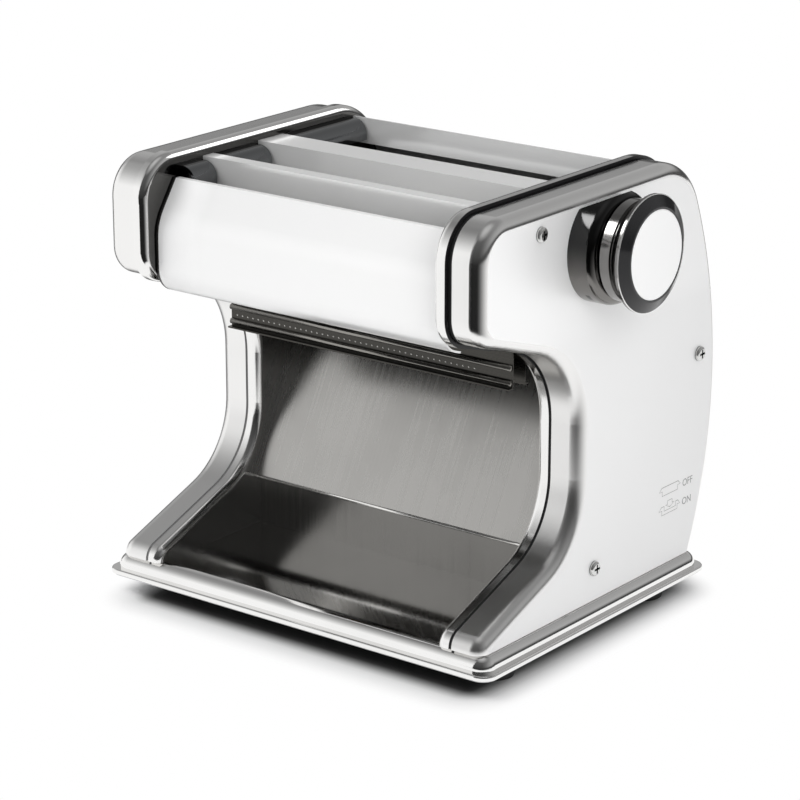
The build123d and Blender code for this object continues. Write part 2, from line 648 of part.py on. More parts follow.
def bottom_plate():
    """Flat plate that closes the underside of the tray."""
    width = TRAY_WIDTH - 2 * BOTTOM_PLATE_INSET
    depth = TRAY_DEPTH - 2 * BOTTOM_PLATE_INSET
    plate = RectangleRounded(width, depth, TRAY_CORNER - BOTTOM_PLATE_INSET / 2)
    for x, y in foot_places().values():
        plate -= Pos(x, y) * Circle(FOOT_SCREW_DIAMETER / 2 + FREE_GAP)
    return Pos(0, 0, FOOT_HEIGHT) * extrude(plate, BOTTOM_PLATE_THICKNESS)


def foot(place):
    """Rubber foot, slightly tapered, recessed from below for its screw."""
    cone = Cone(FOOT_DIAMETER / 2 - FOOT_TAPER, FOOT_DIAMETER / 2, FOOT_HEIGHT)
    body = Pos(0, 0, FOOT_HEIGHT / 2) * cone
    body -= extrude(Circle(FOOT_SCREW_DIAMETER / 2 + SNUG_GAP), FOOT_HEIGHT)
    recess = FOOT_SCREW_HEAD_DIAMETER / 2 + FREE_GAP
    body -= extrude(Circle(recess), FOOT_SCREW_HEAD_DEPTH + FOOT_SCREW_HEAD_HEIGHT)
    return Pos(place[0], place[1]) * body


def foot_screw(place):
    """Pan-head screw through a foot and the bottom plate into the tray's boss."""
    head_top = FOOT_SCREW_HEAD_DEPTH + FOOT_SCREW_HEAD_HEIGHT
    head = extrude(Circle(FOOT_SCREW_HEAD_DIAMETER / 2), FOOT_SCREW_HEAD_HEIGHT)
    shank = extrude(Circle(FOOT_SCREW_DIAMETER / 2), FLOOR_Z - TRAY_WALL - SCREW_END_GAP - head_top)
    return Pos(place[0], place[1], FOOT_SCREW_HEAD_DEPTH) * (head + Pos(0, 0, FOOT_SCREW_HEAD_HEIGHT) * shank)


# Sheet metal between the casings
def across(face):
    """Piece that spans the gap between the two inner casings."""
    return along_x(face, -INNER_FACE_X, INNER_FACE_X)


def outline_strip(distance, y_range, z_range):
    """Sheet that follows the casing outline at a distance inside it, cut to a window."""
    ring = inset(distance) - inset(distance + SHEET)
    return ring & window(y_range, z_range)


def front_cover():
    """Mirror-polished front plate, rolled under the head, with a narrow fold along its top edge."""
    top_y = COVER_Y + COVER_LEAN
    top_z = HEAD_TOP_Z - COVER_TOP_DROP
    bend = (COVER_Y, HEAD_TOP_Z - COVER_BEND_DROP)
    roll = (COVER_Y, HEAD_TOP_Z - COVER_ROLL_DROP)
    end = (COVER_Y + COVER_ROLL_REACH, roll[1] - COVER_ROLL_FALL)
    line = Polyline((top_y + COVER_FOLD, top_z), (top_y, top_z), bend, roll, end)
    for corner, radius in ((bend, COVER_BEND_ROUND), (roll, COVER_ROLL_ROUND)):
        line = fillet(line.vertices().sort_by_distance((corner[0], corner[1], 0))[0], radius)
    return across(make_face(offset(line, amount=SHEET, side=Side.LEFT, closed=True)))


def channel(front_y, width, leg):
    """Bar between two slots: a flat top and two legs folded down."""
    top_z = SLOT_TOP_Z
    outside = window((front_y, front_y + width), (top_z - leg, top_z))
    inside = window((front_y + SHEET, front_y + width - SHEET), (top_z - leg, top_z - SHEET))
    return across(outside - inside)


def rear_top_cover():
    """Cover behind the sheet slot that rolls over the rear edge, with a leg along the slot."""
    roof = outline_strip(
        REAR_COVER_INSET, (REAR_COVER_FRONT_Y, BULGE_Y), (REAR_COVER_BOTTOM_Z, HEAD_TOP_Z)
    )
    leg_z = (SLOT_TOP_Z - REAR_COVER_LEG, SLOT_TOP_Z - SHEET)
    return across(roof + window((REAR_COVER_FRONT_Y, REAR_COVER_FRONT_Y + SHEET), leg_z))


def cover_point(z):
    """Point on the outside of the back cover at a height, and the tilt of its surface there."""
    tilt = asin((z - BULGE_Z) / BACK_COVER_RADIUS)
    return (BULGE_CENTRE_Y + BACK_COVER_RADIUS * cos(tilt), tilt)


def back_cover():
    """Curved cover over the motor, with openings for the power switch and the cord bush."""
    ring = Circle(BACK_COVER_RADIUS) - Circle(BACK_COVER_RADIUS - SHEET)
    face = Pos(BULGE_CENTRE_Y, BULGE_Z) * ring & window((SHEET_REAR_Y, BULGE_Y), (FLOOR_Z, REAR_COVER_BOTTOM_Z))
    cover = across(face)
    half_x = SWITCH_WIDTH / 2 + FREE_GAP
    half_z = SWITCH_HEIGHT / 2 + FREE_GAP
    cover -= block(
        (SWITCH_X - half_x, SWITCH_X + half_x), (SHEET_REAR_Y, BULGE_Y), (BULGE_Z - half_z, BULGE_Z + half_z)
    )
    return cover - cord_rod(CORD_BUSH_DIAMETER + 2 * SNUG_GAP, -CORD_BUSH_LENGTH, CORD_BUSH_LENGTH)


def noodle_slide():
    """Mirror plate that leads the noodles and the sheet forward, hemmed along its lower edge."""
    run = hypot(SLIDE_REAR_Y - SLIDE_FRONT_Y, SLIDE_REAR_Z - SLIDE_FRONT_Z)
    lean = atan2(SLIDE_REAR_Z - SLIDE_FRONT_Z, SLIDE_REAR_Y - SLIDE_FRONT_Y)
    plate = Pos(run / 2, -SHEET / 2) * Rectangle(run, SHEET)
    hem = Pos(SLIDE_LIP / 2, -1.5 * SHEET) * Rectangle(SLIDE_LIP, SHEET)
    return across(Pos(SLIDE_FRONT_Y, SLIDE_FRONT_Z) * Rot(0, 0, degrees(lean)) * (plate + hem))


def lower_panel():
    """Upright panel between the tray floor and the slide, with a foot on the tray."""
    upright = window((PANEL_Y, PANEL_Y + SHEET), (FLOOR_Z, FLOOR_Z + PANEL_HEIGHT))
    base = window((PANEL_Y, PANEL_Y + PANEL_FOOT), (FLOOR_Z, FLOOR_Z + SHEET))
    return across(upright + base)


def slot_cheek(y_range, bottom_z, side):
    """Guide at one end of a slot: upright inside, rolled outwards to the inner casing at the top."""
    top_z = SLOT_TOP_Z - CHEEK_TOP_DROP
    wall_top = top_z - CHEEK_ROUND
    reach = INNER_FACE_X - CHEEK_X
    inner = CHEEK_ROUND - CHEEK_THICKNESS
    upright = Rectangle(CHEEK_THICKNESS, wall_top - bottom_z)
    upright = Pos(CHEEK_THICKNESS / 2, (bottom_z + wall_top) / 2) * upright
    quarter = Circle(CHEEK_ROUND) - Circle(inner)
    quarter &= Pos(-CHEEK_ROUND / 2, CHEEK_ROUND / 2) * Rectangle(CHEEK_ROUND, CHEEK_ROUND)
    bend = Pos(CHEEK_ROUND, wall_top) * quarter
    flat_length = reach - CHEEK_ROUND
    flat = Rectangle(flat_length, CHEEK_THICKNESS)
    flat = Pos(CHEEK_ROUND + flat_length / 2, top_z - CHEEK_THICKNESS / 2) * flat
    profile = Pos(CHEEK_X, 0) * (upright + bend + flat)
    start = Plane(origin=(0, y_range[0], 0), x_dir=(1, 0, 0), z_dir=(0, -1, 0))
    return on_side(extrude(start * profile, -(y_range[1] - y_range[0])), side)


def slot_cheeks():
    gap = CHEEK_SIDE_GAP
    cutter_bottom = CUTTER_Z + CUTTER_DIAMETER / 2 + CHEEK_RISE_GAP
    sheet_bottom = SHEET_ROLLER_Z + SHEET_ROLLER_DIAMETER / 2 + CHEEK_RISE_GAP
    divider_rear_y = DIVIDER_FRONT_Y + DIVIDER_WIDTH
    rear_divider_rear_y = REAR_DIVIDER_FRONT_Y + REAR_DIVIDER_WIDTH
    slots = [
        ((COVER_Y + COVER_LEAN + COVER_FOLD + gap, DIVIDER_FRONT_Y - gap), cutter_bottom),
        ((divider_rear_y + gap, REAR_DIVIDER_FRONT_Y - gap), cutter_bottom),
        ((rear_divider_rear_y + gap, REAR_COVER_FRONT_Y - gap), sheet_bottom),
    ]
    return [slot_cheek(ys, bottom, side) for ys, bottom in slots for side in SIDES.values()]


# Rollers, cutters, bushes, combs and scrapers
def journal_ends(top_plane):
    """Left end of a shaft that carries a wheel up to a plane, and the right end in its bush."""
    return (-(wheel_x(top_plane) + WHEEL_WIDTH), PLATE_X)


def sheet_roller(centre, left_x, right_x):
    barrel = rod(centre, SHEET_ROLLER_DIAMETER, -BARREL_HALF, BARREL_HALF)
    return barrel + rod(centre, JOURNAL_DIAMETER, left_x, right_x)


def groove_places(width, side):
    """Middles of a cutter's grooves. The rear cutter's grooves face the front cutter's discs."""
    count = int(2 * CUT_HALF / (2 * width))
    first = -(count - 1) * width + (width / 2) * side
    return [first + 2 * width * i for i in range(count)]


def cutter(centre, width, side, left_x, right_x):
    """Grooved roller: its discs run in the other cutter's grooves and slice the sheet."""
    body = rod(centre, CUTTER_GROOVE_DIAMETER, -BARREL_HALF, BARREL_HALF)
    body += rod(centre, JOURNAL_DIAMETER, left_x, right_x)
    half = width / 2 - CUT_SIDE_GAP / 2
    for x in groove_places(width, -side):
        body += rod(centre, CUTTER_DIAMETER, x - half, x + half)
    return body


def roller_bushes():
    """Flanged bronze bushes in the frame plates, flange towards the rollers."""
    bushes = []
    outer = JOURNAL_DIAMETER + 2 * BUSH_WALL
    bore = JOURNAL_DIAMETER + 2 * RUN_GAP
    for place in fixed_journals():
        sleeve = tube(place, outer - 2 * SNUG_GAP, bore, WEB_X, PLATE_X)
        flange = tube(place, outer + 2 * BUSH_FLANGE_WIDTH, bore, WEB_X - BUSH_FLANGE, WEB_X)
        bushes += [sleeve + flange, mirror(sleeve + flange, about=Plane.YZ)]
    return bushes


def comb(middle_y, width, bottom_z, side):
    """Folded strip whose fingers lie in a cutter's grooves, hanging down beside the noodles."""
    centre = cutter_centre(middle_y, side)
    lean = radians(COMB_ANGLE)
    reach = CUTTER_GROOVE_DIAMETER / 2 + COMB_GROOVE_GAP
    tip = Vector(reach * cos(lean), -reach * sin(lean))
    down = Vector(-sin(lean), -cos(lean))
    knee = tip + down * COMB_LEAN_LENGTH
    outward = Vector(cos(lean), -sin(lean)) * COMB_THICKNESS
    leaning = Polygon(tip, tip + outward, knee + outward, knee, align=None)
    finger_end = tip + down * COMB_FINGER_LENGTH
    fingers = Polygon(tip, tip + outward, finger_end + outward, finger_end, align=None)
    depth = centre[1] - bottom_z
    foot_y = knee.X + COMB_THICKNESS
    hanging = Polygon(knee, knee + outward, (foot_y, -depth), (knee.X, -depth), align=None)
    hem = Pos(knee.X - COMB_HEM / 2 + COMB_THICKNESS, -depth + COMB_THICKNESS / 2)
    hem = hem * Rectangle(COMB_HEM, COMB_THICKNESS)
    plate = leaning + hanging + hem
    place = Pos(*centre) if side < 0 else Pos(*centre) * Rot(0, 180, 0)
    body = across(place * plate)
    notch_top = place * fingers
    half = width / 2 - COMB_FINGER_GAP
    body -= across(notch_top)
    for x in groove_places(width, side):
        body += along_x(notch_top, x - half, x + half)
    return body


def scraper_face(centre, side, length):
    """Section of a strip that points at the lower front (-1) or rear (1) of a sheet roller."""
    reach = SHEET_ROLLER_DIAMETER / 2 + SCRAPER_GAP
    blade = Pos(reach + length / 2, 0) * Rectangle(length, SCRAPER_THICKNESS)
    return Pos(*centre) * Rot(0, 0, -90 + side * SCRAPER_ANGLE) * blade


# Gears
def tooth_half_angle(radius, pitch_radius, base_radius, module):
    """Half the angle a tooth fills at a radius, thinned by the backlash."""
    pressure = radians(PRESSURE_ANGLE)
    thickness = pi * module / 2 - BACKLASH / 2
    at_pitch = thickness / (2 * pitch_radius) + tan(pressure) - pressure
    local = acos(base_radius / max(radius, base_radius))
    return at_pitch - (tan(local) - local)


def gear_face(module, teeth, phase):
    """Outline of a spur gear about the origin with the middle of one tooth at the angle phase."""
    pitch_radius = module * teeth / 2
    base_radius = pitch_radius * cos(radians(PRESSURE_ANGLE))
    tip = pitch_radius + ADDENDUM * module
    root = pitch_radius - DEDENDUM * module
    start = max(root, base_radius)
    radii = [root, start, (start + tip) / 2, tip] if start > root else [root, (root + tip) / 2, tip]
    flank = [(r, tooth_half_angle(r, pitch_radius, base_radius, module)) for r in radii]
    points = []
    for i in range(teeth):
        middle = phase + 2 * pi * i / teeth
        points += [(r * cos(middle - half), r * sin(middle - half)) for r, half in flank]
        points += [(r * cos(middle + half), r * sin(middle + half)) for r, half in reversed(flank)]
    return Polygon(*points, align=None)


def meshed_phase(phase, teeth, next_teeth, centre, next_centre):
    """Phase of a gear whose teeth lie in the spaces of the gear it meshes with."""
    direction = atan2(next_centre[1] - centre[1], next_centre[0] - centre[0])
    along = (direction - phase) * teeth / (2 * pi)
    return direction + pi - (0.5 - along) * 2 * pi / next_teeth


def wheel(centre, module, teeth, phase, first_plane, last_plane):
    """Toothed disc over one or more of the wheel planes in the left casing."""
    x_from = -(wheel_x(last_plane) + WHEEL_WIDTH)
    return along_x(Pos(*centre) * gear_face(module, teeth, phase), x_from, -wheel_x(first_plane))


def on_shaft(body, centre):
    """Wheel pressed on the end of a roller's shaft."""
    return body - rod(centre, JOURNAL_DIAMETER + 2 * SNUG_GAP, -SIDE_FACE_X, 0)


def on_stud(body, centre, last_plane, hub_start_x=PLATE_X + FREE_GAP):
    """Wheel with a hub that runs on a stud of the left frame plate."""
    end = -(wheel_x(last_plane) + WHEEL_WIDTH)
    body += rod(centre, STUD_DIAMETER + 2 * (RUN_GAP + HUB_WALL), end, -hub_start_x)
    return body - rod(centre, STUD_DIAMETER + 2 * RUN_GAP, -SIDE_FACE_X, 0)


MAIN_PHASE = 0.0
SHEET_DRIVE_PHASE = meshed_phase(MAIN_PHASE, MAIN_DRIVE_TEETH, SHEET_DRIVE_TEETH, MAIN_WHEEL, SHEET_FRONT)
TAGLIATELLE_PHASE = meshed_phase(MAIN_PHASE, MAIN_DRIVE_TEETH, CUTTER_TEETH, MAIN_WHEEL, TAGLIATELLE_FRONT)
IDLER_PHASE = meshed_phase(TAGLIATELLE_PHASE, CUTTER_TEETH, IDLER_TEETH, TAGLIATELLE_FRONT, IDLER_WHEEL)
SPAGHETTI_PHASE = meshed_phase(IDLER_PHASE, IDLER_TEETH, CUTTER_TEETH, IDLER_WHEEL, SPAGHETTI_FRONT)
SHEET_REAR_PHASE = meshed_phase(0.0, SHEET_TEETH, SHEET_TEETH, SHEET_FRONT, SHEET_REAR)
SECOND_PHASE = meshed_phase(MAIN_PHASE, MAIN_INPUT_TEETH, SECOND_PINION_TEETH, MAIN_WHEEL, SECOND_WHEEL)
FIRST_PHASE = meshed_phase(0.0, SECOND_WHEEL_TEETH, FIRST_PINION_TEETH, SECOND_WHEEL, FIRST_WHEEL)
MOTOR_PHASE = meshed_phase(0.0, FIRST_WHEEL_TEETH, MOTOR_TEETH, FIRST_WHEEL, MOTOR_AXIS)


def sheet_front_gear():
    """Double gear: long teeth that turn the rear roller, and the drive gear from the main wheel."""
    body = wheel(SHEET_FRONT, ROLLER_MODULE, SHEET_TEETH, 0.0, 0, 0)
    body += tube(SHEET_FRONT, JOURNAL_DIAMETER + 2 * HUB_WALL, JOURNAL_DIAMETER, -wheel_x(1), -wheel_x(0))
    body += wheel(SHEET_FRONT, TRAIN_MODULE, SHEET_DRIVE_TEETH, SHEET_DRIVE_PHASE, 1, 1)
    return on_shaft(body, SHEET_FRONT)


def cutter_gears(front, rear, phase):
    """Wide gear on a front cutter and the narrow one it turns on the rear cutter."""
    rear_phase = meshed_phase(phase, CUTTER_TEETH, CUTTER_TEETH, front, rear)
    wide = on_shaft(wheel(front, TRAIN_MODULE, CUTTER_TEETH, phase, 0, 1), front)
    narrow = on_shaft(wheel(rear, TRAIN_MODULE, CUTTER_TEETH, rear_phase, 0, 0), rear)
    return wide, narrow


def main_wheel():
    body = wheel(MAIN_WHEEL, TRAIN_MODULE, MAIN_DRIVE_TEETH, MAIN_PHASE, 1, 1)
    body += wheel(MAIN_WHEEL, TRAIN_MODULE, MAIN_INPUT_TEETH, MAIN_PHASE, 2, 2)
    return on_stud(body, MAIN_WHEEL, 2)


def idler_wheel():
    """Idler between the two front cutters, its hub no longer than its teeth."""
    body = wheel(IDLER_WHEEL, TRAIN_MODULE, IDLER_TEETH, IDLER_PHASE, 1, 1)
    return on_stud(body, IDLER_WHEEL, 1, wheel_x(1))


def second_wheel():
    body = wheel(SECOND_WHEEL, TRAIN_MODULE, SECOND_WHEEL_TEETH, 0.0, 0, 0)
    body += wheel(SECOND_WHEEL, TRAIN_MODULE, SECOND_PINION_TEETH, SECOND_PHASE, 2, 2)
    return on_stud(body, SECOND_WHEEL, 2)


def first_wheel():
    body = wheel(FIRST_WHEEL, TRAIN_MODULE, FIRST_PINION_TEETH, FIRST_PHASE, 0, 0)
    body += wheel(FIRST_WHEEL, TRAIN_MODULE, FIRST_WHEEL_TEETH, 0.0, 1, 1)
    return on_stud(body, FIRST_WHEEL, 1)


def motor():
    """Motor can fixed to the left inner casing, with a pilot boss and a rear bearing cap."""
    start = -INNER_FACE_X
    can = rod(MOTOR_AXIS, MOTOR_DIAMETER, start, start + MOTOR_LENGTH)
    can = fillet(can.edges().filter_by(GeomType.CIRCLE), MOTOR_EDGE_ROUND)
    tail_x = start + MOTOR_LENGTH
    can += rod(MOTOR_AXIS, MOTOR_TAIL_DIAMETER, tail_x, tail_x + MOTOR_TAIL_LENGTH)
    can += rod(MOTOR_AXIS, MOTOR_PILOT_DIAMETER, -PLATE_X, start)
    bore = MOTOR_SHAFT_DIAMETER + 2 * RUN_GAP
    return can - rod(MOTOR_AXIS, bore, -PLATE_X, start + MOTOR_SHAFT_DEPTH)


def motor_pinion():
    """Motor shaft with its pinion."""
    pinion = wheel(MOTOR_AXIS, TRAIN_MODULE, MOTOR_TEETH, MOTOR_PHASE, 1, 1)
    end = -INNER_FACE_X + MOTOR_SHAFT_DEPTH - FREE_GAP
    return pinion + rod(MOTOR_AXIS, MOTOR_SHAFT_DIAMETER, -(wheel_x(1) + WHEEL_WIDTH), end)


# Thickness setting on the right
def slide_bar(side):
    """Bearing slide of the rear sheet roller, slotted for its guides. The right one reaches the cam."""
    half = SLIDE_BAR_HEIGHT / 2
    face = window((SLIDE_BAR_FRONT_Y, SLIDE_BAR_REAR_Y), (SHEET_ROLLER_Z - half, SHEET_ROLLER_Z + half))
    if side > 0:
        nose_y = DIAL_Y + CAM_RADIUS + FREE_GAP / 2
        nose = SLIDE_NOSE_HEIGHT / 2
        face += window((nose_y, SLIDE_BAR_FRONT_Y), (DIAL_Z - nose, DIAL_Z + nose))
    face -= Pos(*SHEET_REAR) * Circle(JOURNAL_DIAMETER / 2 + RUN_GAP)
    width = GUIDE_DIAMETER + 2 * RUN_GAP
    for guide_y in GUIDE_PLACES:
        length = width + SHEET_TRAVEL + 2 * FREE_GAP
        face -= Pos(guide_y - SHEET_TRAVEL / 2, SHEET_ROLLER_Z) * SlotOverall(length, width)
    return on_side(along_x(face, SLIDE_X, SLIDE_X + SLIDE_THICKNESS), side)


def crossbar():
    """Bar that makes both slides move together and carries the rear roller's scraper."""
    half_y = CROSSBAR_WIDTH / 2
    half_z = CROSSBAR_HEIGHT / 2
    y_range = (CROSSBAR_Y - half_y, CROSSBAR_Y + half_y)
    z_range = (SHEET_ROLLER_Z - half_z, SHEET_ROLLER_Z + half_z)
    bar = block((-SLIDE_X, SLIDE_X), y_range, z_range)
    reach = SHEET_ROLLER_DIAMETER / 2 + SCRAPER_GAP
    length = (y_range[1] - SHEET_REAR_Y) / sin(radians(SCRAPER_ANGLE)) - reach
    bottom_z = SHEET_ROLLER_Z - (reach + length) * cos(radians(SCRAPER_ANGLE))
    stem = window((y_range[1] - SCRAPER_THICKNESS, y_range[1]), (bottom_z, z_range[0]))
    blade = scraper_face(SHEET_REAR, 1, length) & window((SHEET_REAR_Y, y_range[1]), (0, SHEET_ROLLER_Z))
    return bar + along_x(stem + blade, -BARREL_HALF, BARREL_HALF)


def cam_face():
    """Cam whose radius grows evenly over the dial's turn and falls back along a straight line."""
    points = []
    for i in range(CAM_POINTS + 1):
        share = i / CAM_POINTS
        angle = -radians(DIAL_TURN) * share
        radius = CAM_RADIUS + SHEET_TRAVEL * share
        points.append((radius * cos(angle), radius * sin(angle)))
    return Polygon(*points, align=None)


def turned(profile):
    """Solid of revolution about the dial's axis. The profile holds (X, radius) points."""
    plane = Plane(origin=(0, DIAL_Y, DIAL_Z), x_dir=(1, 0, 0), z_dir=(0, -1, 0))
    axis = Axis((0, DIAL_Y, DIAL_Z), (1, 0, 0))
    return revolve(plane * Polygon(*profile, align=None), axis)


def dial_collar():
    """Fixed black collar, a cup with a bearing boss, sloped off below the casing's top edge."""
    collar = rod((DIAL_Y, DIAL_Z), COLLAR_DIAMETER, SIDE_FACE_X, COLLAR_END_X)
    collar = fillet(collar.edges().sort_by(Axis.X)[-1], COLLAR_ROUND)
    radius = COLLAR_DIAMETER / 2
    slope = Polygon(
        (SIDE_FACE_X, COLLAR_TOP_REACH),
        (COLLAR_END_X, radius),
        (COLLAR_END_X, 2 * radius),
        (SIDE_FACE_X, 2 * radius),
        align=None,
    )
    start = Plane(origin=(0, DIAL_Y - radius, DIAL_Z), x_dir=(1, 0, 0), z_dir=(0, -1, 0))
    collar -= extrude(start * slope, -2 * radius)
    collar -= rod((DIAL_Y, DIAL_Z), COLLAR_BORE_DIAMETER, SIDE_FACE_X + COLLAR_FLOOR, COLLAR_END_X)
    boss_from = CASING_INSIDE_X - COLLAR_FLOOR
    collar += rod((DIAL_Y, DIAL_Z), COLLAR_BOSS_DIAMETER, boss_from, COLLAR_END_X - FREE_GAP)
    bore = SPINDLE_DIAMETER + 2 * RUN_GAP
    return collar - rod((DIAL_Y, DIAL_Z), bore, boss_from, COLLAR_END_X)


def spindle_section(clearance):
    """Round spindle with one flat that turns the dial."""
    reach = SPINDLE_DIAMETER / 2 + clearance
    flat = SPINDLE_FLAT + clearance
    return Circle(reach) & Pos(0, flat - reach) * Rectangle(2 * reach, 2 * reach)


def dial_body():
    """Neck and grip flange of the dial, sliding on the spindle, hollow for the spring."""
    grip = GRIP_DIAMETER / 2
    ring = NECK_RING_DIAMETER / 2
    groove = NECK_GROOVE_DIAMETER / 2
    ring_end = NECK_X + NECK_RING_LENGTH
    inner = INSERT_DIAMETER / 2 + SNUG_GAP
    profile = [(NECK_X, 0), (NECK_X, ring - NECK_RING_EDGE), (NECK_X + NECK_RING_EDGE, ring)]
    profile += [(ring_end, ring), (ring_end, groove), (ring_end + NECK_GROOVE_LENGTH, groove)]
    neck_part = turned(profile + [(GRIP_X, NECK_FLARE_DIAMETER / 2), (GRIP_X, 0)])
    body = neck_part + turned([(GRIP_X, 0), (GRIP_X, grip), (BEVEL_X, grip), (BEVEL_X, 0)])
    cavity = SPINDLE_HEAD_DIAMETER / 2 + FREE_GAP
    body -= turned([(SHOULDER_X, 0), (SHOULDER_X, cavity), (BEVEL_X, cavity), (BEVEL_X, 0)])
    hollow_from = BEVEL_X - DIAL_WALL
    body -= turned([(hollow_from, 0), (hollow_from, inner), (BEVEL_X, inner), (BEVEL_X, 0)])
    hole = Pos(DIAL_Y, DIAL_Z) * spindle_section(RUN_GAP)
    return body - along_x(hole, NECK_X, SHOULDER_X)


def dial_ring():
    """Bevelled gloss ring on the front of the grip, holding the insert."""
    grip = GRIP_DIAMETER / 2
    inner = INSERT_DIAMETER / 2
    seat = inner - DIAL_WALL
    points = [(BEVEL_X, grip), (DIAL_END_X, inner + BEVEL_RIM), (DIAL_END_X, inner), (INSERT_X, inner)]
    return turned(points + [(INSERT_X, seat), (BEVEL_X, seat)])


def dial_insert():
    """Satin disc in the front of the dial."""
    disc = rod((DIAL_Y, DIAL_Z), INSERT_DIAMETER - 2 * SNUG_GAP, INSERT_X, DIAL_END_X)
    return fillet(disc.edges().sort_by(Axis.X)[-1], INSERT_ROUND)


def dial_spindle():
    """Spindle with the cam at its inner end and a head that holds the spring."""
    centre = (DIAL_Y, DIAL_Z)
    cam = along_x(Pos(*centre) * cam_face(), SLIDE_X, SLIDE_X + SLIDE_THICKNESS)
    stub = rod(centre, SPINDLE_STUB_DIAMETER, WEB_X + FREE_GAP, SLIDE_X)
    round_part = rod(centre, SPINDLE_DIAMETER, SLIDE_X + SLIDE_THICKNESS, COLLAR_END_X)
    flat_part = along_x(Pos(*centre) * spindle_section(0), COLLAR_END_X, SPINDLE_HEAD_X)
    head = rod(centre, SPINDLE_HEAD_DIAMETER, SPINDLE_HEAD_X, SPINDLE_HEAD_X + SPINDLE_HEAD_LENGTH)
    return cam + stub + round_part + flat_part + head


def dial_spring():
    """Closed outer shape of the spring that holds the dial in."""
    inner = SPINDLE_DIAMETER + 2 * FREE_GAP
    return tube((DIAL_Y, DIAL_Z), inner + 2 * SPRING_WALL, inner, SHOULDER_X, SPINDLE_HEAD_X)


# Power switch and cord bush
def switch_housing():
    """Open box of the power switch with a flange on the back cover at its widest point."""
    face_y = BULGE_CENTRE_Y + BACK_COVER_RADIUS
    half_x = SWITCH_WIDTH / 2
    half_z = SWITCH_HEIGHT / 2
    edge = SWITCH_FLANGE
    front = face_y + SWITCH_FLANGE_THICKNESS

    def centred(grow, y_range):
        x_range = (SWITCH_X - half_x - grow, SWITCH_X + half_x + grow)
        return block(x_range, y_range, (BULGE_Z - half_z - grow, BULGE_Z + half_z + grow))

    body = centred(0, (face_y - SWITCH_DEPTH, front)) + centred(edge, (face_y, front))
    return body - centred(-SWITCH_WALL, (face_y - SWITCH_DEPTH + SWITCH_WALL, front))


def switch_rocker():
    """Rocker of the power switch on its pin, tilted to off."""
    face_y = BULGE_CENTRE_Y + BACK_COVER_RADIUS
    half_x = SWITCH_WIDTH / 2 - SWITCH_WALL - FREE_GAP
    half_z = SWITCH_HEIGHT / 2 - SWITCH_WALL - 3 * FREE_GAP
    middle = SWITCH_FLANGE_THICKNESS
    front = middle + ROCKER_DISH
    side_y = half_z - ROCKER_DRAFT
    points = [(-half_z, front), (0, middle), (half_z, front), (side_y, -ROCKER_DEPTH / 2)]
    points += [(0, -ROCKER_DEPTH), (-side_y, -ROCKER_DEPTH / 2)]
    profile = Polygon(*[(y, z) for z, y in points], align=None)
    tilted = Pos(face_y, BULGE_Z) * Rot(0, 0, -SWITCH_TILT) * profile
    rocker = along_x(tilted, SWITCH_X - half_x, SWITCH_X + half_x)
    pin_half = SWITCH_WIDTH / 2 - SWITCH_WALL
    return rocker + rod((face_y, BULGE_Z), ROCKER_PIN_DIAMETER, SWITCH_X - pin_half, SWITCH_X + pin_half)


def cord_plane():
    """Plane on the back cover at the cord bush, its z pointing out of the machine."""
    y, tilt = cover_point(CORD_Z)
    return Plane(origin=(CORD_X, y, CORD_Z), x_dir=(1, 0, 0), z_dir=(0, cos(tilt), sin(tilt)))


def cord_rod(diameter, inside, outside):
    return extrude(cord_plane().offset(inside) * Circle(diameter / 2), outside - inside)


def cord_bush():
    """Rubber bush that leads the cord through the back cover."""
    inside = CORD_FLANGE_THICKNESS - CORD_BUSH_LENGTH
    body = cord_rod(CORD_BUSH_DIAMETER, inside, CORD_FLANGE_THICKNESS)
    body += cord_rod(CORD_FLANGE_DIAMETER, 0, CORD_FLANGE_THICKNESS)
    return body - cord_rod(CORD_BORE_DIAMETER, inside, CORD_FLANGE_THICKNESS)


# All nodes
os.makedirs("parts", exist_ok=True)

write("tray", tray())
write("bottom_plate", bottom_plate())
for foot_name, foot_place in foot_places().items():
    write(foot_name, foot(foot_place))
write("foot_screws", *[foot_screw(place) for place in foot_places().values()])

for side_name, side_sign in SIDES.items():
    write(side_name + "_outer_casing", outer_casing(side_sign))
    write(side_name + "_inner_casing", inner_casing(side_sign))
    write(side_name + "_seam", seam(side_sign))
    write(side_name + "_frame_plate", frame_plate(side_sign))
    write(side_name + "_slide", slide_bar(side_sign))
screws = [casing_screw(place) for place in SCREW_PLACES]
write("casing_screws", *[on_side(screw, sign) for screw in screws for sign in SIDES.values()])
write("tie_rods", *tie_rods())
write("tie_rod_nuts", *rod_nuts())

write("front_cover", front_cover())
write("front_divider", channel(DIVIDER_FRONT_Y, DIVIDER_WIDTH, DIVIDER_LEG))
write("rear_divider", channel(REAR_DIVIDER_FRONT_Y, REAR_DIVIDER_WIDTH, REAR_DIVIDER_LEG))
write("rear_top_cover", rear_top_cover())
write("back_cover", back_cover())
write("noodle_slide", noodle_slide())
write("lower_panel", lower_panel())
write("slot_cheeks", *slot_cheeks())

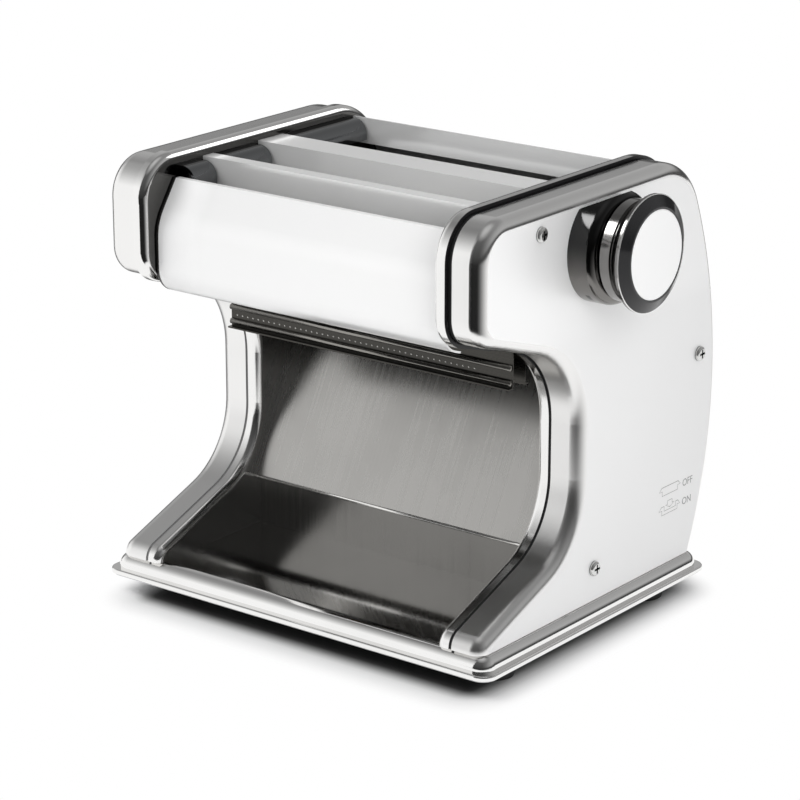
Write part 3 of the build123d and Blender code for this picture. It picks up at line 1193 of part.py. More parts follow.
write("sheet_front_roller", sheet_roller(SHEET_FRONT, *journal_ends(1)))
slide_end = SLIDE_X + SLIDE_THICKNESS
write("sheet_rear_roller", sheet_roller(SHEET_REAR, journal_ends(0)[0], slide_end))
write("sheet_front_gear", sheet_front_gear())
rear_gear = wheel(SHEET_REAR, ROLLER_MODULE, SHEET_TEETH, SHEET_REAR_PHASE, 0, 0)
write("sheet_rear_gear", on_shaft(rear_gear, SHEET_REAR))
for kind, (pair_y, noodle_width, comb_z) in CUTTERS.items():
    front_place = cutter_centre(pair_y, -1)
    rear_place = cutter_centre(pair_y, 1)
    write(kind + "_front_cutter", cutter(front_place, noodle_width, -1, *journal_ends(1)))
    write(kind + "_rear_cutter", cutter(rear_place, noodle_width, 1, *journal_ends(0)))
    pair_phase = TAGLIATELLE_PHASE if kind == "tagliatelle" else SPAGHETTI_PHASE
    wide_gear, narrow_gear = cutter_gears(front_place, rear_place, pair_phase)
    write(kind + "_front_gear", wide_gear)
    write(kind + "_rear_gear", narrow_gear)
    write(kind + "_combs", *[comb(pair_y, noodle_width, comb_z, side) for side in (-1, 1)])
write("roller_bushes", *roller_bushes())
write("front_scraper", across(scraper_face(SHEET_FRONT, -1, SCRAPER_LENGTH)))

write("main_wheel", main_wheel())
write("idler_wheel", idler_wheel())
write("second_wheel", second_wheel())
write("first_wheel", first_wheel())
write("motor", motor())
write("motor_pinion", motor_pinion())

write("crossbar", crossbar())
write("dial_collar", dial_collar())
write("dial_body", dial_body())
write("dial_ring", dial_ring())
write("dial_insert", dial_insert())
write("dial_spindle", dial_spindle())
write("dial_spring", dial_spring())
write("switch_housing", switch_housing())
write("switch_rocker", switch_rocker())
write("cord_bush", cord_bush())
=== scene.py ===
import bpy
import bmesh
from math import cos, pi, radians, sin
from mathutils import Matrix, Vector


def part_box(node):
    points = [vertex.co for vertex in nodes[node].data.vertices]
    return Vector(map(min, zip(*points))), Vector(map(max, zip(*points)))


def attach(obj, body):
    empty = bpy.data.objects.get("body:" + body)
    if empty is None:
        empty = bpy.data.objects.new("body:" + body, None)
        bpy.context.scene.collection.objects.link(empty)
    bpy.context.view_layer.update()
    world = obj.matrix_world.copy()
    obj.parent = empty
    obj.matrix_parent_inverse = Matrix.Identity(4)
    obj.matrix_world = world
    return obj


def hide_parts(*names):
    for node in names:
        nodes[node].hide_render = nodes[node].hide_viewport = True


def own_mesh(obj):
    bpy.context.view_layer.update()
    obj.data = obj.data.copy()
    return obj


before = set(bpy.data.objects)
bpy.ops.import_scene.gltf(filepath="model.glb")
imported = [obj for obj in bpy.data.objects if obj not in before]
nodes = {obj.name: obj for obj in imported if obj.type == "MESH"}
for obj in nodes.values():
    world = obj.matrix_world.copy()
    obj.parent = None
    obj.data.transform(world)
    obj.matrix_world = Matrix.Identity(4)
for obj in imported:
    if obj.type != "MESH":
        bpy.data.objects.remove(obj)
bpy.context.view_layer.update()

# Camera: it stands in front of the machine's right end, a little above the head, and its
# long lens keeps straight edges nearly parallel.
yaw = radians(37.59)
pitch = radians(17.9)
reach = 1.5961
aim = Vector((-0.01795, -0.00715, 0.10335))
sensor = 36
focal_pixels = 3050.57
picture_pixels = 800
backward = Vector((sin(yaw) * cos(pitch), -cos(yaw) * cos(pitch), sin(pitch)))
camera = bpy.data.objects.new("camera", bpy.data.cameras.new("camera"))
bpy.context.scene.collection.objects.link(camera)
camera.data.lens = sensor * focal_pixels / picture_pixels
camera.data.sensor_width = sensor
camera.location = aim + backward * reach
camera.rotation_mode = "QUATERNION"
camera.rotation_quaternion = (-backward).to_track_quat("-Z", "Y")
bpy.context.scene.camera = camera


# Tray: one deep-drawn stainless sheet with a rolled upstand and a thin flange all round,
# polished bright before the machine is screwed onto it.
class Level:
    """A value on a wire of a node tree. Sums and products with it add Math nodes."""

    def __init__(self, tree, socket):
        self.tree = tree
        self.socket = socket

    def maths(self, operation, first, second):
        return self.tree.node("ShaderNodeMath", {"operation": operation}, {0: first, 1: second})

    def __add__(self, other):
        return self.maths("ADD", self, other)

    def __mul__(self, other):
        return self.maths("MULTIPLY", self, other)

    def __sub__(self, other):
        return self.maths("SUBTRACT", self, other)

    def __rsub__(self, other):
        return self.maths("SUBTRACT", other, self)

    def __truediv__(self, other):
        return self.maths("DIVIDE", self, other)

    def __abs__(self):
        return self.maths("ABSOLUTE", self, 0.0)

    def angle(self, run):
        """The angle in degrees of a slope that rises by this value over the given run."""
        return self.maths("ARCTAN2", self, run) * (180 / pi)

    def steps(self, start, end):
        """0 below start, 1 above end, and smooth between them."""
        span = {"Value": self, "From Min": start, "From Max": end}
        return self.tree.node("ShaderNodeMapRange", {"interpolation_type": "SMOOTHSTEP"}, span)

    def ramp(self, *stops):
        """The grey that the stops give, each stop a level and its grey."""
        return self.tree.node("ShaderNodeValToRGB", {"stops": stops}, {0: self})

    def above(self, low, high):
        """0 below low, 1 above high, and straight between them."""
        return self.ramp((low, 0.0), (high, 1.0))

    __radd__ = __add__
    __rmul__ = __mul__


class Tree:
    """A node tree under construction."""

    def __init__(self, tree):
        self.tree = tree

    def node(self, kind, settings=None, inputs=None, output=0):
        """Adds a node, with its settings first and then the values or links of its sockets."""
        made = self.tree.nodes.new(kind)
        for key, value in (settings or {}).items():
            if key == "stops":
                self.grade(made.color_ramp.elements, value)
            else:
                setattr(made, key, value)
        for key, value in (inputs or {}).items():
            self.plug(made.inputs[key], value)
        return Level(self, made.outputs[output])

    def grade(self, elements, stops):
        """Sets a ramp's stops. A new ramp has two already."""
        for stop in stops[2:]:
            elements.new(stop[0])
        for element, (level, grey) in zip(elements, stops):
            element.position = level
            element.color = (grey, grey, grey, 1)

    def plug(self, socket, value):
        """Links a level to a socket, or sets the socket to a plain value."""
        if isinstance(value, Level):
            self.tree.links.new(value.socket, socket)
        elif socket.type == "RGBA":
            socket.default_value = (*value, 1)
        else:
            socket.default_value = value

    def coordinates(self, output="Object"):
        """The piece's own coordinates in metres, or another of their kinds."""
        return self.node("ShaderNodeTexCoord", output=output)

    def place(self, scale=(1, 1, 1), turn=(0, 0, 0)):
        """The piece's own coordinates, turned and stretched for a pattern."""
        inputs = {"Vector": self.coordinates(), "Scale": scale, "Rotation": turn}
        return self.node("ShaderNodeMapping", {}, inputs)

    def split(self, vector):
        """The X, Y and Z of a vector as three values."""
        return [self.node("ShaderNodeSeparateXYZ", {}, {0: vector}, axis) for axis in range(3)]

    def axes(self):
        return self.split(self.coordinates())

    def noise(self, per_metre, detail, where=None):
        inputs = {"Scale": per_metre, "Detail": detail, "Vector": where or self.place()}
        return self.node("ShaderNodeTexNoise", {}, inputs)

    def streaks(self, per_metre, detail, turn=(0, 0, 0)):
        """Noise drawn out into lines, with so many to a metre along each of X, Y and Z."""
        return self.noise(1.0, detail, self.place(per_metre, turn))

    def mix(self, factor, first, second):
        """Blends two colours, which a Mix node takes at its sockets 6 and 7 and gives at its output 2."""
        inputs = {"Factor": factor, 6: first, 7: second}
        return self.node("ShaderNodeMix", {"data_type": "RGBA"}, inputs, 2)

    def ray(self, kind):
        """1 for light rays of the given kind, and 0 for all others."""
        return self.node("ShaderNodeLightPath", output=kind)


class Finish(Tree):
    """A material under construction: its Principled shader and the nodes that feed it."""

    def __init__(self, name, **sockets):
        self.material = bpy.data.materials.new(name)
        self.material.use_nodes = True
        super().__init__(self.material.node_tree)
        self.shader = self.tree.nodes["Principled BSDF"]
        for socket, value in sockets.items():
            self.feed(socket.title(), value)

    def feed(self, socket, value):
        self.plug(self.shader.inputs[socket], value)

    def bump(self, height, depth):
        """Raises the surface by depth metres where height is 1."""
        self.feed("Normal", self.node("ShaderNodeBump", {}, {"Height": height, "Distance": depth}))

    def dress(self, *names):
        """Gives the named nodes this finish alone."""
        for name in names:
            slots = nodes[name].data.materials
            slots.clear()
            slots.append(self.material)


def darker(tone, share):
    """The same colour at a share of its brightness."""
    return tuple(part * share for part in tone)


def polished(name, rough, tone=(0.9, 0.895, 0.885), wave=0.00003):
    """Polished stainless sheet: faint wiping marks, hairlines, and a slight wave from pressing."""
    smudge_rough = 0.035
    hair_rough = 0.012
    finish = Finish(name, metallic=1.0)
    smudge = finish.noise(per_metre=26, detail=4).above(0.48, 0.8)
    hairs = finish.streaks((30, 30, 1400), detail=2, turn=(0.5, 0.3, 0.2)).above(0.62, 0.74)
    finish.feed("Roughness", smudge * smudge_rough + hairs * hair_rough + rough)
    finish.feed("Base Color", finish.mix(smudge, tone, darker(tone, 0.965)))
    finish.bump(finish.noise(per_metre=13, detail=1), wave)
    return finish


polished("tray_mirror_steel", rough=0.07, wave=0.00005).dress("tray")


# Bottom plate, feet and their screws: a zinc-plated plate closes the tray from below, and four
# moulded rubber feet are held through it by pan-head screws.
def plated(name, tone=(0.56, 0.565, 0.575), rough=0.3, cells=220):
    """Zinc-plated or bare machined steel: a fine crystal pattern, and slight stains."""
    grain_rough = 0.12
    stain_rough = 0.1
    finish = Finish(name, metallic=1.0)
    crystals = {"Scale": cells, "Vector": finish.place()}
    grain = finish.node("ShaderNodeTexVoronoi", {"feature": "SMOOTH_F1"}, crystals)
    stain = finish.noise(per_metre=34, detail=4).above(0.4, 0.72)
    finish.feed("Base Color", finish.mix(stain, tone, darker(tone, 0.78)))
    finish.feed("Roughness", grain * grain_rough + stain * stain_rough + rough)
    finish.bump(grain, 0.00001)
    return finish


def moulded(name, tone, rough, grain=1400, depth=0.000012, dusty=0.0):
    """Moulded plastic or rubber: an even colour with fine grain and a little dust."""
    speck_rough = 0.06
    dust_rough = 0.1
    dust_grey = (0.35, 0.34, 0.32)
    finish = Finish(name)
    speck = finish.noise(per_metre=grain, detail=2)
    dust = finish.noise(per_metre=42, detail=5).above(0.5, 0.82)
    finish.feed("Base Color", finish.mix(dust * dusty, tone, dust_grey))
    finish.feed("Roughness", speck * speck_rough + dust * dust_rough + rough)
    finish.bump(speck, depth)
    return finish


plated("bottom_plate_zinc").dress("bottom_plate")
foot_rubber = moulded("foot_rubber", (0.018, 0.018, 0.019), rough=0.5, grain=900, depth=0.00004, dusty=0.12)
foot_rubber.dress("foot_front_left", "foot_front_right", "foot_rear_left", "foot_rear_right")
plated("foot_screw_zinc", (0.62, 0.62, 0.61), rough=0.24, cells=500).dress("foot_screws")

# Frame plates: two punched and zinc-plated steel plates stand in the casings and carry the
# rollers' bushes.
frame_zinc = plated("frame_plate_zinc", (0.6, 0.605, 0.61), rough=0.27, cells=160)
frame_zinc.dress("left_frame_plate", "right_frame_plate")


# Tie rods and nuts: turned steel rods hold the two frame plates apart, and nuts clamp their
# threaded ends.
def turned_steel(name, tone=(0.66, 0.665, 0.67), rough=0.2, lines=2600):
    """Turned or ground steel: fine rings around the piece's length, along X."""
    ring_rough = 0.14
    stain_rough = 0.06
    finish = Finish(name, metallic=1.0)
    rings = finish.streaks((lines, 22, 22), detail=1)
    stain = finish.noise(per_metre=30, detail=4).above(0.45, 0.78)
    finish.feed("Base Color", finish.mix(stain, tone, darker(tone, 0.86)))
    finish.feed("Roughness", rings * ring_rough + stain * stain_rough + rough)
    finish.bump(rings, 0.000012)
    return finish


turned_steel("tie_rod_steel").dress("tie_rods", "tie_rod_nuts")

# Motor and gear train: a closed motor turns a steel pinion, and moulded nylon wheels
# bring the speed down to the rollers' steel gears.
plated("motor_can", (0.42, 0.425, 0.43), rough=0.34, cells=300).dress("motor")
turned_steel("pinion_steel", lines=900).dress("motor_pinion")
nylon = moulded("gear_nylon", (0.72, 0.69, 0.6), rough=0.42, grain=700, depth=0.00002, dusty=0.05)
nylon.dress("idler_wheel", "main_wheel", "second_wheel")
plated("gear_steel", (0.58, 0.58, 0.585), rough=0.26, cells=420).dress(
    "first_wheel", "sheet_front_gear", "sheet_rear_gear", "spaghetti_front_gear",
    "spaghetti_rear_gear", "tagliatelle_front_gear", "tagliatelle_rear_gear",
)

# Rollers and cutters: solid bars turned and ground, the cutters grooved into rings that
# run in each other's gaps. They turn in pressed bushes of sintered bronze.
ground_steel = turned_steel("roller_ground_steel", (0.74, 0.745, 0.75), rough=0.14, lines=1800)
ground_steel.dress("sheet_front_roller", "sheet_rear_roller")
turned_steel("cutter_steel", (0.68, 0.68, 0.68), rough=0.2, lines=3200).dress(
    "spaghetti_front_cutter", "spaghetti_rear_cutter", "tagliatelle_front_cutter", "tagliatelle_rear_cutter",
)
bushes = Finish("sintered_bronze", metallic=1.0)
pores = bushes.noise(per_metre=1700, detail=3).above(0.42, 0.6)
pore_bronze = (0.33, 0.2, 0.1)
worn_bronze = (0.66, 0.44, 0.24)
bushes.feed("Base Color", bushes.mix(pores, pore_bronze, worn_bronze))
bushes.feed("Roughness", 0.5 - pores * 0.16)
bushes.bump(pores, 0.00002)
bushes.dress("roller_bushes")


# Combs and scraper: thin folded strips of brushed steel, painted nearly black as shade under
# the head. Their fingers lie in the cutters' grooves, and along the lower strip a row of punched
# domes runs between two round beads.
def brushed(name, tone, rough, lines=(6, 1500, 1500), depth=0.00001):
    """Brushed sheet: fine lines along one direction, and dull patches."""
    line_rough = 0.16
    patch_rough = 0.07
    finish = Finish(name, metallic=1.0)
    line = finish.streaks(lines, detail=2)
    patch = finish.noise(per_metre=24, detail=3).above(0.42, 0.75)
    finish.feed("Base Color", finish.mix(line, darker(tone, 0.86), tone))
    finish.feed("Roughness", line * line_rough + patch * patch_rough + rough)
    finish.bump(line, depth)
    return finish


# Painted shade: the comb steel is nearly black, as it lies under the head.
comb_shaded_finish = brushed("comb_shaded_brushed_steel", (0.075, 0.072, 0.066), rough=0.2)
comb_shaded_finish.dress("spaghetti_combs", "tagliatelle_combs", "front_scraper")


def built(name, shape, finish, body, smooth=True):
    """Makes the object of a finished shape and fastens it to its body."""
    bmesh.ops.recalc_face_normals(shape, faces=shape.faces)
    mesh = bpy.data.meshes.new(name)
    shape.to_mesh(mesh)
    shape.free()
    if smooth:
        mesh.shade_smooth()
    piece = bpy.data.objects.new(name, mesh)
    bpy.context.scene.collection.objects.link(piece)
    mesh.materials.append(finish.material)
    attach(piece, body)
    return piece


def studs(places, radius, height, turn):
    """Small domes at the given places, pointing along the turned Z."""
    shape = bmesh.new()
    for place in places:
        made = bmesh.ops.create_uvsphere(shape, u_segments=8, v_segments=4, radius=radius)["verts"]
        bmesh.ops.scale(shape, vec=(1, 1, height / radius), verts=made)
        bmesh.ops.rotate(shape, matrix=turn, verts=made)
        bmesh.ops.translate(shape, vec=place, verts=made)
    return shape


comb_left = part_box("tagliatelle_combs")[0][0]
comb_face = -0.04045
comb_height = 0.1428
stud_count = 44
stud_pitch = 0.0036
stud_inset = 0.004
stud_start = comb_left + stud_inset
stud_row = [(stud_start + stud_pitch * step, comb_face, comb_height) for step in range(stud_count)]
stud_finish = polished("comb_stud_steel", rough=0.12, tone=(0.78, 0.77, 0.74))
stud_radius = 0.0007
stud_rise = 0.0006
stud_shape = studs(stud_row, stud_radius, stud_rise, turn=Matrix.Rotation(pi / 2, 3, "X"))
built("comb_punched_row", stud_shape, stud_finish, "machine")


def bead(name, along, y, z, radius, finish):
    """A straight round bead along X, nearly as long as the named node that carries it."""
    end_gap = 0.0003
    low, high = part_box(along)
    length = high[0] - low[0] - 2 * end_gap
    middle = (low[0] + high[0]) / 2
    shape = bmesh.new()
    bmesh.ops.create_cone(shape, cap_ends=True, segments=20, radius1=radius, radius2=radius, depth=length)
    bmesh.ops.rotate(shape, matrix=Matrix.Rotation(pi / 2, 3, "Y"), verts=shape.verts)
    bmesh.ops.translate(shape, vec=(middle, y, z), verts=shape.verts)
    return built(name, shape, finish, "machine")


bead_finish = turned_steel("comb_bead_steel", (0.3, 0.29, 0.27), rough=0.16, lines=6)
bead_radius = 0.0015
bead_depth = comb_face - 0.00085
lower_bead = comb_height - 0.0035
upper_bead = comb_height + 0.0043
for name, height in (("comb_lower_bead", lower_bead), ("comb_upper_bead", upper_bead)):
    bead(name, "tagliatelle_combs", bead_depth, height, bead_radius, bead_finish)

# Gap carriage: two punched slides and a folded crossbar carry the rear sheet roller, and
# move it away from the front one when the dial is turned.
plated("slide_plate_steel", (0.6, 0.6, 0.6), rough=0.24, cells=300).dress("left_slide", "right_slide")
brushed("crossbar_steel", (0.6, 0.6, 0.605), rough=0.24).dress("crossbar")

# Noodle bay: a bent slide and a low panel of satin sheet guide the noodles forward onto the
# tray; the panel is painted darker as shade under the slide. The slide's lower edge is rolled
# into a bright round hem.
satin_lines = (500, 8, 8)
satin_depth = 0.0000004
slide_tone = (0.56, 0.55, 0.53)
slide_satin = brushed("slide_satin_steel", slide_tone, rough=0.18, lines=satin_lines, depth=satin_depth)
slide_satin.dress("noodle_slide")
# Painted shade: the panel's steel is darker than the slide's, as it lies under it.
panel_shaded_tone = (0.24, 0.235, 0.225)
panel_shaded_satin = brushed("panel_shaded_satin_steel", panel_shaded_tone, rough=0.12, lines=satin_lines, depth=satin_depth)
panel_shaded_satin.dress("lower_panel")
slide_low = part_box("noodle_slide")[0]
hem_finish = polished("hem_steel", rough=0.16, tone=(0.9, 0.89, 0.87))
hem_radius = 0.001
hem_y = slide_low[1] + 0.0009
hem_z = slide_low[2] + 0.0012
bead("slide_rolled_hem", "noodle_slide", hem_y, hem_z, hem_radius, hem_finish)

# Covers of the head and back: folded stainless strips between the casings, bright on the
# outside. The front plate's left end is painted black as the shadow in the open joint beside
# the casing.
front_plate = polished("front_plate_steel", rough=0.24, wave=0.00001)
plate_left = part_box("front_cover")[0][0]
from_end = front_plate.axes()[0] - plate_left
gap_shadow_width = 0.0012
gap_shadow_fade = 0.0003
# Painted shadow: a black strip at the plate's left end stands in for the shade in the joint.
past_gap_shadow = from_end.steps(gap_shadow_width, gap_shadow_width + gap_shadow_fade)
painted_gap_shadow = (0.025, 0.024, 0.023)
plate_white = (0.96, 0.96, 0.96)
satin_metallic = 0.4
front_plate.feed("Metallic", satin_metallic * from_end.steps(0.006, 0.03))
front_plate.feed("Base Color", front_plate.mix(past_gap_shadow, painted_gap_shadow, plate_white))
front_plate.dress("front_cover")
divider = polished("divider_steel", rough=0.16, tone=(0.97, 0.97, 0.965), wave=0.00002)
divider.feed("Metallic", satin_metallic)
divider.dress("front_divider", "rear_divider", "rear_top_cover")
polished("back_cover_steel", rough=0.05, tone=(0.86, 0.855, 0.85), wave=0.00004).dress("back_cover")

# Slot cheeks: plates of dark steel, bent outwards in a round at the top and fixed to the
# inner casings. They close the ends of the three slots.
polished("cheek_steel", rough=0.1, tone=(0.2, 0.205, 0.21), wave=0.00001).dress("slot_cheeks")


# Casings: each side is two deep-drawn shells of stainless steel with a gasket between them.
# Edges are buffed bright and flat outer faces are satin. Shade is painted dark along the open
# joint of the seam and on the flat inner walls beside the slots at the head.
def casing(name, flat_side, seam_x, head_gap, leg_gap, outer):
    """A buffed shell with painted shade along the open joint of the seam, which may be wider at the head."""
    buffed = 0.17 if outer else 0.09
    leg_rough = 0.7 * buffed
    smudge_rough = 0.03
    gap_shade_rough = 0.4
    satin_rough = 0.18
    grain_rough = 0.03
    satin_dulling = 0.72
    head_start = 0.158
    head_end = 0.172
    finish = Finish(name)
    x, _, z = finish.axes()
    smudge = finish.noise(per_metre=20, detail=4).above(0.48, 0.8)
    head = z.steps(head_start, head_end)
    gap = head * head_gap + (1 - head) * leg_gap
    # Painted shade: a dark band along the seam stands in for the shadow in the open joint.
    painted_gap_shade = 1 - (abs(x - seam_x) / gap).steps(0.85, 1.0)
    tone = finish.mix(smudge, (0.9, 0.895, 0.885), (0.875, 0.87, 0.86))
    metal = 1 - painted_gap_shade
    rough = smudge * smudge_rough + painted_gap_shade * gap_shade_rough + (1 - head) * leg_rough + buffed
    facing = finish.split(finish.coordinates("Normal"))[0]
    flat = (facing * flat_side).steps(0.965, 0.995)
    if outer:
        grain = finish.streaks((1500, 1500, 14), detail=2)
        tone = finish.mix(flat, tone, (0.95, 0.95, 0.95))
        metal = metal * (1 - flat * satin_dulling)
        rough = rough + flat * satin_rough + flat * grain * grain_rough
    else:
        # Painted shade: the flat inner walls at the head are darkened.
        tone = finish.mix(flat * head, tone, (0.1, 0.098, 0.095))
    finish.feed("Metallic", metal)
    finish.feed("Roughness", rough)
    finish.feed("Base Color", finish.mix(painted_gap_shade, tone, (0.01, 0.01, 0.011)))
    finish.bump(finish.noise(per_metre=11, detail=1), 0.00003)
    return finish


def seam_place(node):
    """The middle of a gasket across the machine."""
    low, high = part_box(node)
    return (low[0] + high[0]) / 2


right_seam = seam_place("right_seam")
left_seam = seam_place("left_seam")
right_outer = casing("right_casing_steel", 1, right_seam, head_gap=0.0020, leg_gap=0.0009, outer=True)
right_outer.dress("right_outer_casing")
left_outer = casing("left_casing_steel", -1, left_seam, head_gap=0.0007, leg_gap=0.0007, outer=True)
left_outer.dress("left_outer_casing")
right_inner = casing("right_inner_casing_steel", -1, right_seam, head_gap=0.0009, leg_gap=0.0009, outer=False)
right_inner.dress("right_inner_casing")
left_inner = casing("left_inner_casing_steel", 1, left_seam, head_gap=0.0007, leg_gap=0.0007, outer=False)
left_inner.dress("left_inner_casing")

# Gaskets: strips of moulded rubber pressed between the shells, one rubber in two tones: black
# on the right side, painted as the shade in the joint, and lighter grey on the left.
# Painted shade: the right gasket is black and the left one lighter grey.
moulded("seam_rubber_shaded", (0.008, 0.008, 0.009), rough=0.6).dress("right_seam")
moulded("seam_rubber_unshaded", (0.16, 0.16, 0.16), rough=0.5).dress("left_seam")

# Casing screws: cross-head screws of bright zinc, with painted shade in their recesses, draw
# the outer shells onto posts that are riveted to the frame plates.
screws = polished("screw_bright_zinc", rough=0.16)
screw_recess = 0.0016
# Painted shade: ambient occlusion darkens the colour in the cross recesses.
shade_occlusion = screws.node("ShaderNodeAmbientOcclusion", {"samples": 8}, {"Distance": screw_recess}, "AO")
painted_recess_shade = (0.02, 0.02, 0.02)
bright_zinc = (0.72, 0.72, 0.71)
screws.feed("Metallic", 0.9)
screws.feed("Base Color", screws.mix(shade_occlusion.steps(0.45, 0.85), painted_recess_shade, bright_zinc))
screws.dress("casing_screws")


# Thickness dial: a turned neck and grip in black chrome slide on a sprung spindle over a
# black chrome collar with a small dark window, whose colour is painted paler below its axis and
# darker above it as reflection and shade. A gloss plastic ring with a thin bright bead around it
# holds a satin silver disc.
def black_chrome(name):
    """Black chrome over turned metal: a smoky film that is slightly uneven."""
    film_rough = 0.04
    bare_rough = 0.13
    finish = Finish(name, metallic=1.0)
    film = finish.noise(per_metre=30, detail=4).above(0.45, 0.8)
    finish.feed("Base Color", finish.mix(film, (0.27, 0.265, 0.26), (0.24, 0.235, 0.23)))
    finish.feed("Roughness", film * film_rough + bare_rough)
    finish.bump(finish.noise(per_metre=40, detail=1), 0.00001)
    return finish


black_chrome("dial_black_chrome").dress("dial_body")
dial_low, dial_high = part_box("dial_body")
dial_y = (dial_low[1] + dial_high[1]) / 2
dial_z = (dial_low[2] + dial_high[2]) / 2

collar = black_chrome("collar_black_chrome")
across, deep, high = collar.axes()
above_axis = high - dial_z
# Painted reflection and shade: the collar's colour is paler below its axis and darker above it.
painted_lit_below = -0.014
painted_shaded_above = 0.008
painted_lit_chrome = (0.2, 0.193, 0.185)
painted_shaded_chrome = (0.045, 0.045, 0.045)
collar_painted_shade = collar.mix(above_axis.steps(painted_lit_below, painted_shaded_above), painted_lit_chrome, painted_shaded_chrome)
window_angle = -128
window_half_angle = 6.0
angle_fade = 0.5
window_x = 0.1112
window_half_width = 0.0012
width_fade = 0.0001
window_black = (0.01, 0.01, 0.01)
around_window = abs(above_axis.angle(deep - dial_y) - window_angle)
along_window = abs(across - window_x)
window = 1 - around_window.steps(window_half_angle - angle_fade, window_half_angle)
window = window * (1 - along_window.steps(window_half_width - width_fade, window_half_width))
collar.feed("Base Color", collar.mix(window, collar_painted_shade, window_black))
collar.dress("dial_collar")

moulded("dial_ring_gloss", (0.012, 0.012, 0.013), rough=0.06, grain=900, depth=0.000002).dress("dial_ring")
edge_radius = 0.0293
edge_wire = 0.0003
edge_x = 0.13465
edge = bmesh.new()
bmesh.ops.create_circle(edge, radius=edge_wire, segments=10)
bmesh.ops.translate(edge, vec=(edge_radius, 0, 0), verts=edge.verts)
bmesh.ops.rotate(edge, matrix=Matrix.Rotation(pi / 2, 3, "X"), verts=edge.verts)
bmesh.ops.spin(
    edge, geom=edge.edges[:] + edge.verts[:], axis=(0, 0, 1), cent=(0, 0, 0), angle=2 * pi,
    steps=96, use_merge=True,
)
bmesh.ops.rotate(edge, matrix=Matrix.Rotation(pi / 2, 3, "Y"), verts=edge.verts)
bmesh.ops.translate(edge, vec=(edge_x, dial_y, dial_z), verts=edge.verts)
built("dial_edge_ring", edge, polished("dial_edge_chrome", rough=0.08), "thickness_dial")

disc = Finish("dial_disc_silver", metallic=0.3)
satin = disc.streaks((1, 900, 40), detail=2)
disc.feed("Base Color", disc.mix(satin, (0.95, 0.95, 0.95), (0.97, 0.97, 0.97)))
disc.feed("Roughness", satin * 0.08 + 0.34)
disc.bump(satin, 0.000004)
disc.dress("dial_insert")
turned_steel("spindle_steel").dress("dial_spindle")

# Dial spring: a coil of round spring wire between the dial's shoulder and the spindle's head,
# which closes towards the head when the dial is pulled out.
spring_low, spring_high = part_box("dial_spring")
wire = 0.0005
turns = 5
turn_steps = 24
clear = 0.0001
coil_steps = turns * turn_steps
rise = spring_high[0] - spring_low[0] - 2 * (wire + clear)
coil = bmesh.new()
bmesh.ops.create_circle(coil, radius=wire, segments=8)
bmesh.ops.translate(coil, vec=(spring_low[0] + wire + clear, spring_high[1] - wire, dial_z), verts=coil.verts)
bmesh.ops.spin(
    coil, geom=coil.edges[:] + coil.verts[:], axis=(1, 0, 0), cent=(0, dial_y, dial_z),
    dvec=(rise / coil_steps, 0, 0), angle=2 * pi * turns, steps=coil_steps,
)
bmesh.ops.holes_fill(coil, edges=coil.edges)
spring_wire = turned_steel("spring_wire", (0.6, 0.6, 0.6), rough=0.22)
spring = built("dial_spring_coil", coil, spring_wire, "thickness_spindle")
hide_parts("dial_spring")
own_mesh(spring)

# Power switch and cord bush at the back: a gloss rocker in a moulded frame that snaps into
# the back cover, and a rubber bush where the mains lead goes in.
frame_black = moulded(
    "switch_frame_plastic", (0.02, 0.02, 0.021), rough=0.32, grain=1500, depth=0.00001, dusty=0.05
)
frame_black.dress("switch_housing")
rocker_black = moulded(
    "switch_rocker_plastic", (0.03, 0.03, 0.031), rough=0.2, grain=1500, depth=0.000006, dusty=0.03
)
rocker_black.dress("switch_rocker")
bush_rubber = moulded(
    "cord_bush_rubber", (0.018, 0.018, 0.018), rough=0.45, grain=900, depth=0.00003, dusty=0.1
)
bush_rubber.dress("cord_bush")

# Marks for OFF and ON, printed in grey on the right side face: the slide's outline
# alone for OFF, and with its raised tongue for ON.
ink = moulded("mark_ink", (0.3, 0.3, 0.3), rough=0.5, grain=2200, depth=0.000002)
side_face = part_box("right_outer_casing")[1][0]
ink_lift = 0.00002
ink_flat = 0.1
line_radius = 0.0002
letter_size = 0.0056
word_start = 0.07605
off_word_height = 0.0585
on_word_height = 0.0482


def outline(points):
    """A closed line of ink through points of the side face, in millimetres."""
    curve = bpy.data.curves.new("line", "CURVE")
    curve.dimensions = "3D"
    curve.bevel_depth = line_radius
    curve.bevel_resolution = 1
    spline = curve.splines.new("POLY")
    spline.points.add(len(points) - 1)
    for point, (y, z) in zip(spline.points, points):
        point.co = (0, y / 1000, z / 1000, 1)
    spline.use_cyclic_u = True
    return curve


def lettered(word):
    """A word of plain thin letters."""
    curve = bpy.data.curves.new("word", "FONT")
    curve.body = word
    curve.size = letter_size
    curve.offset = -ink_lift
    curve.extrude = ink_lift
    return curve


def printed(name, curve, place):
    """Turns a flat curve into a thin layer of ink and fastens it to the machine."""
    holder = bpy.data.objects.new("holder", curve)
    bpy.context.scene.collection.objects.link(holder)
    bpy.context.view_layer.update()
    mesh = bpy.data.meshes.new_from_object(holder.evaluated_get(bpy.context.evaluated_depsgraph_get()))
    bpy.data.objects.remove(holder)
    mesh.transform(place)
    shape = bmesh.new()
    shape.from_mesh(mesh)
    bmesh.ops.remove_doubles(shape, verts=shape.verts, dist=0.000001)
    return built(name, shape, ink, "machine", smooth=False)


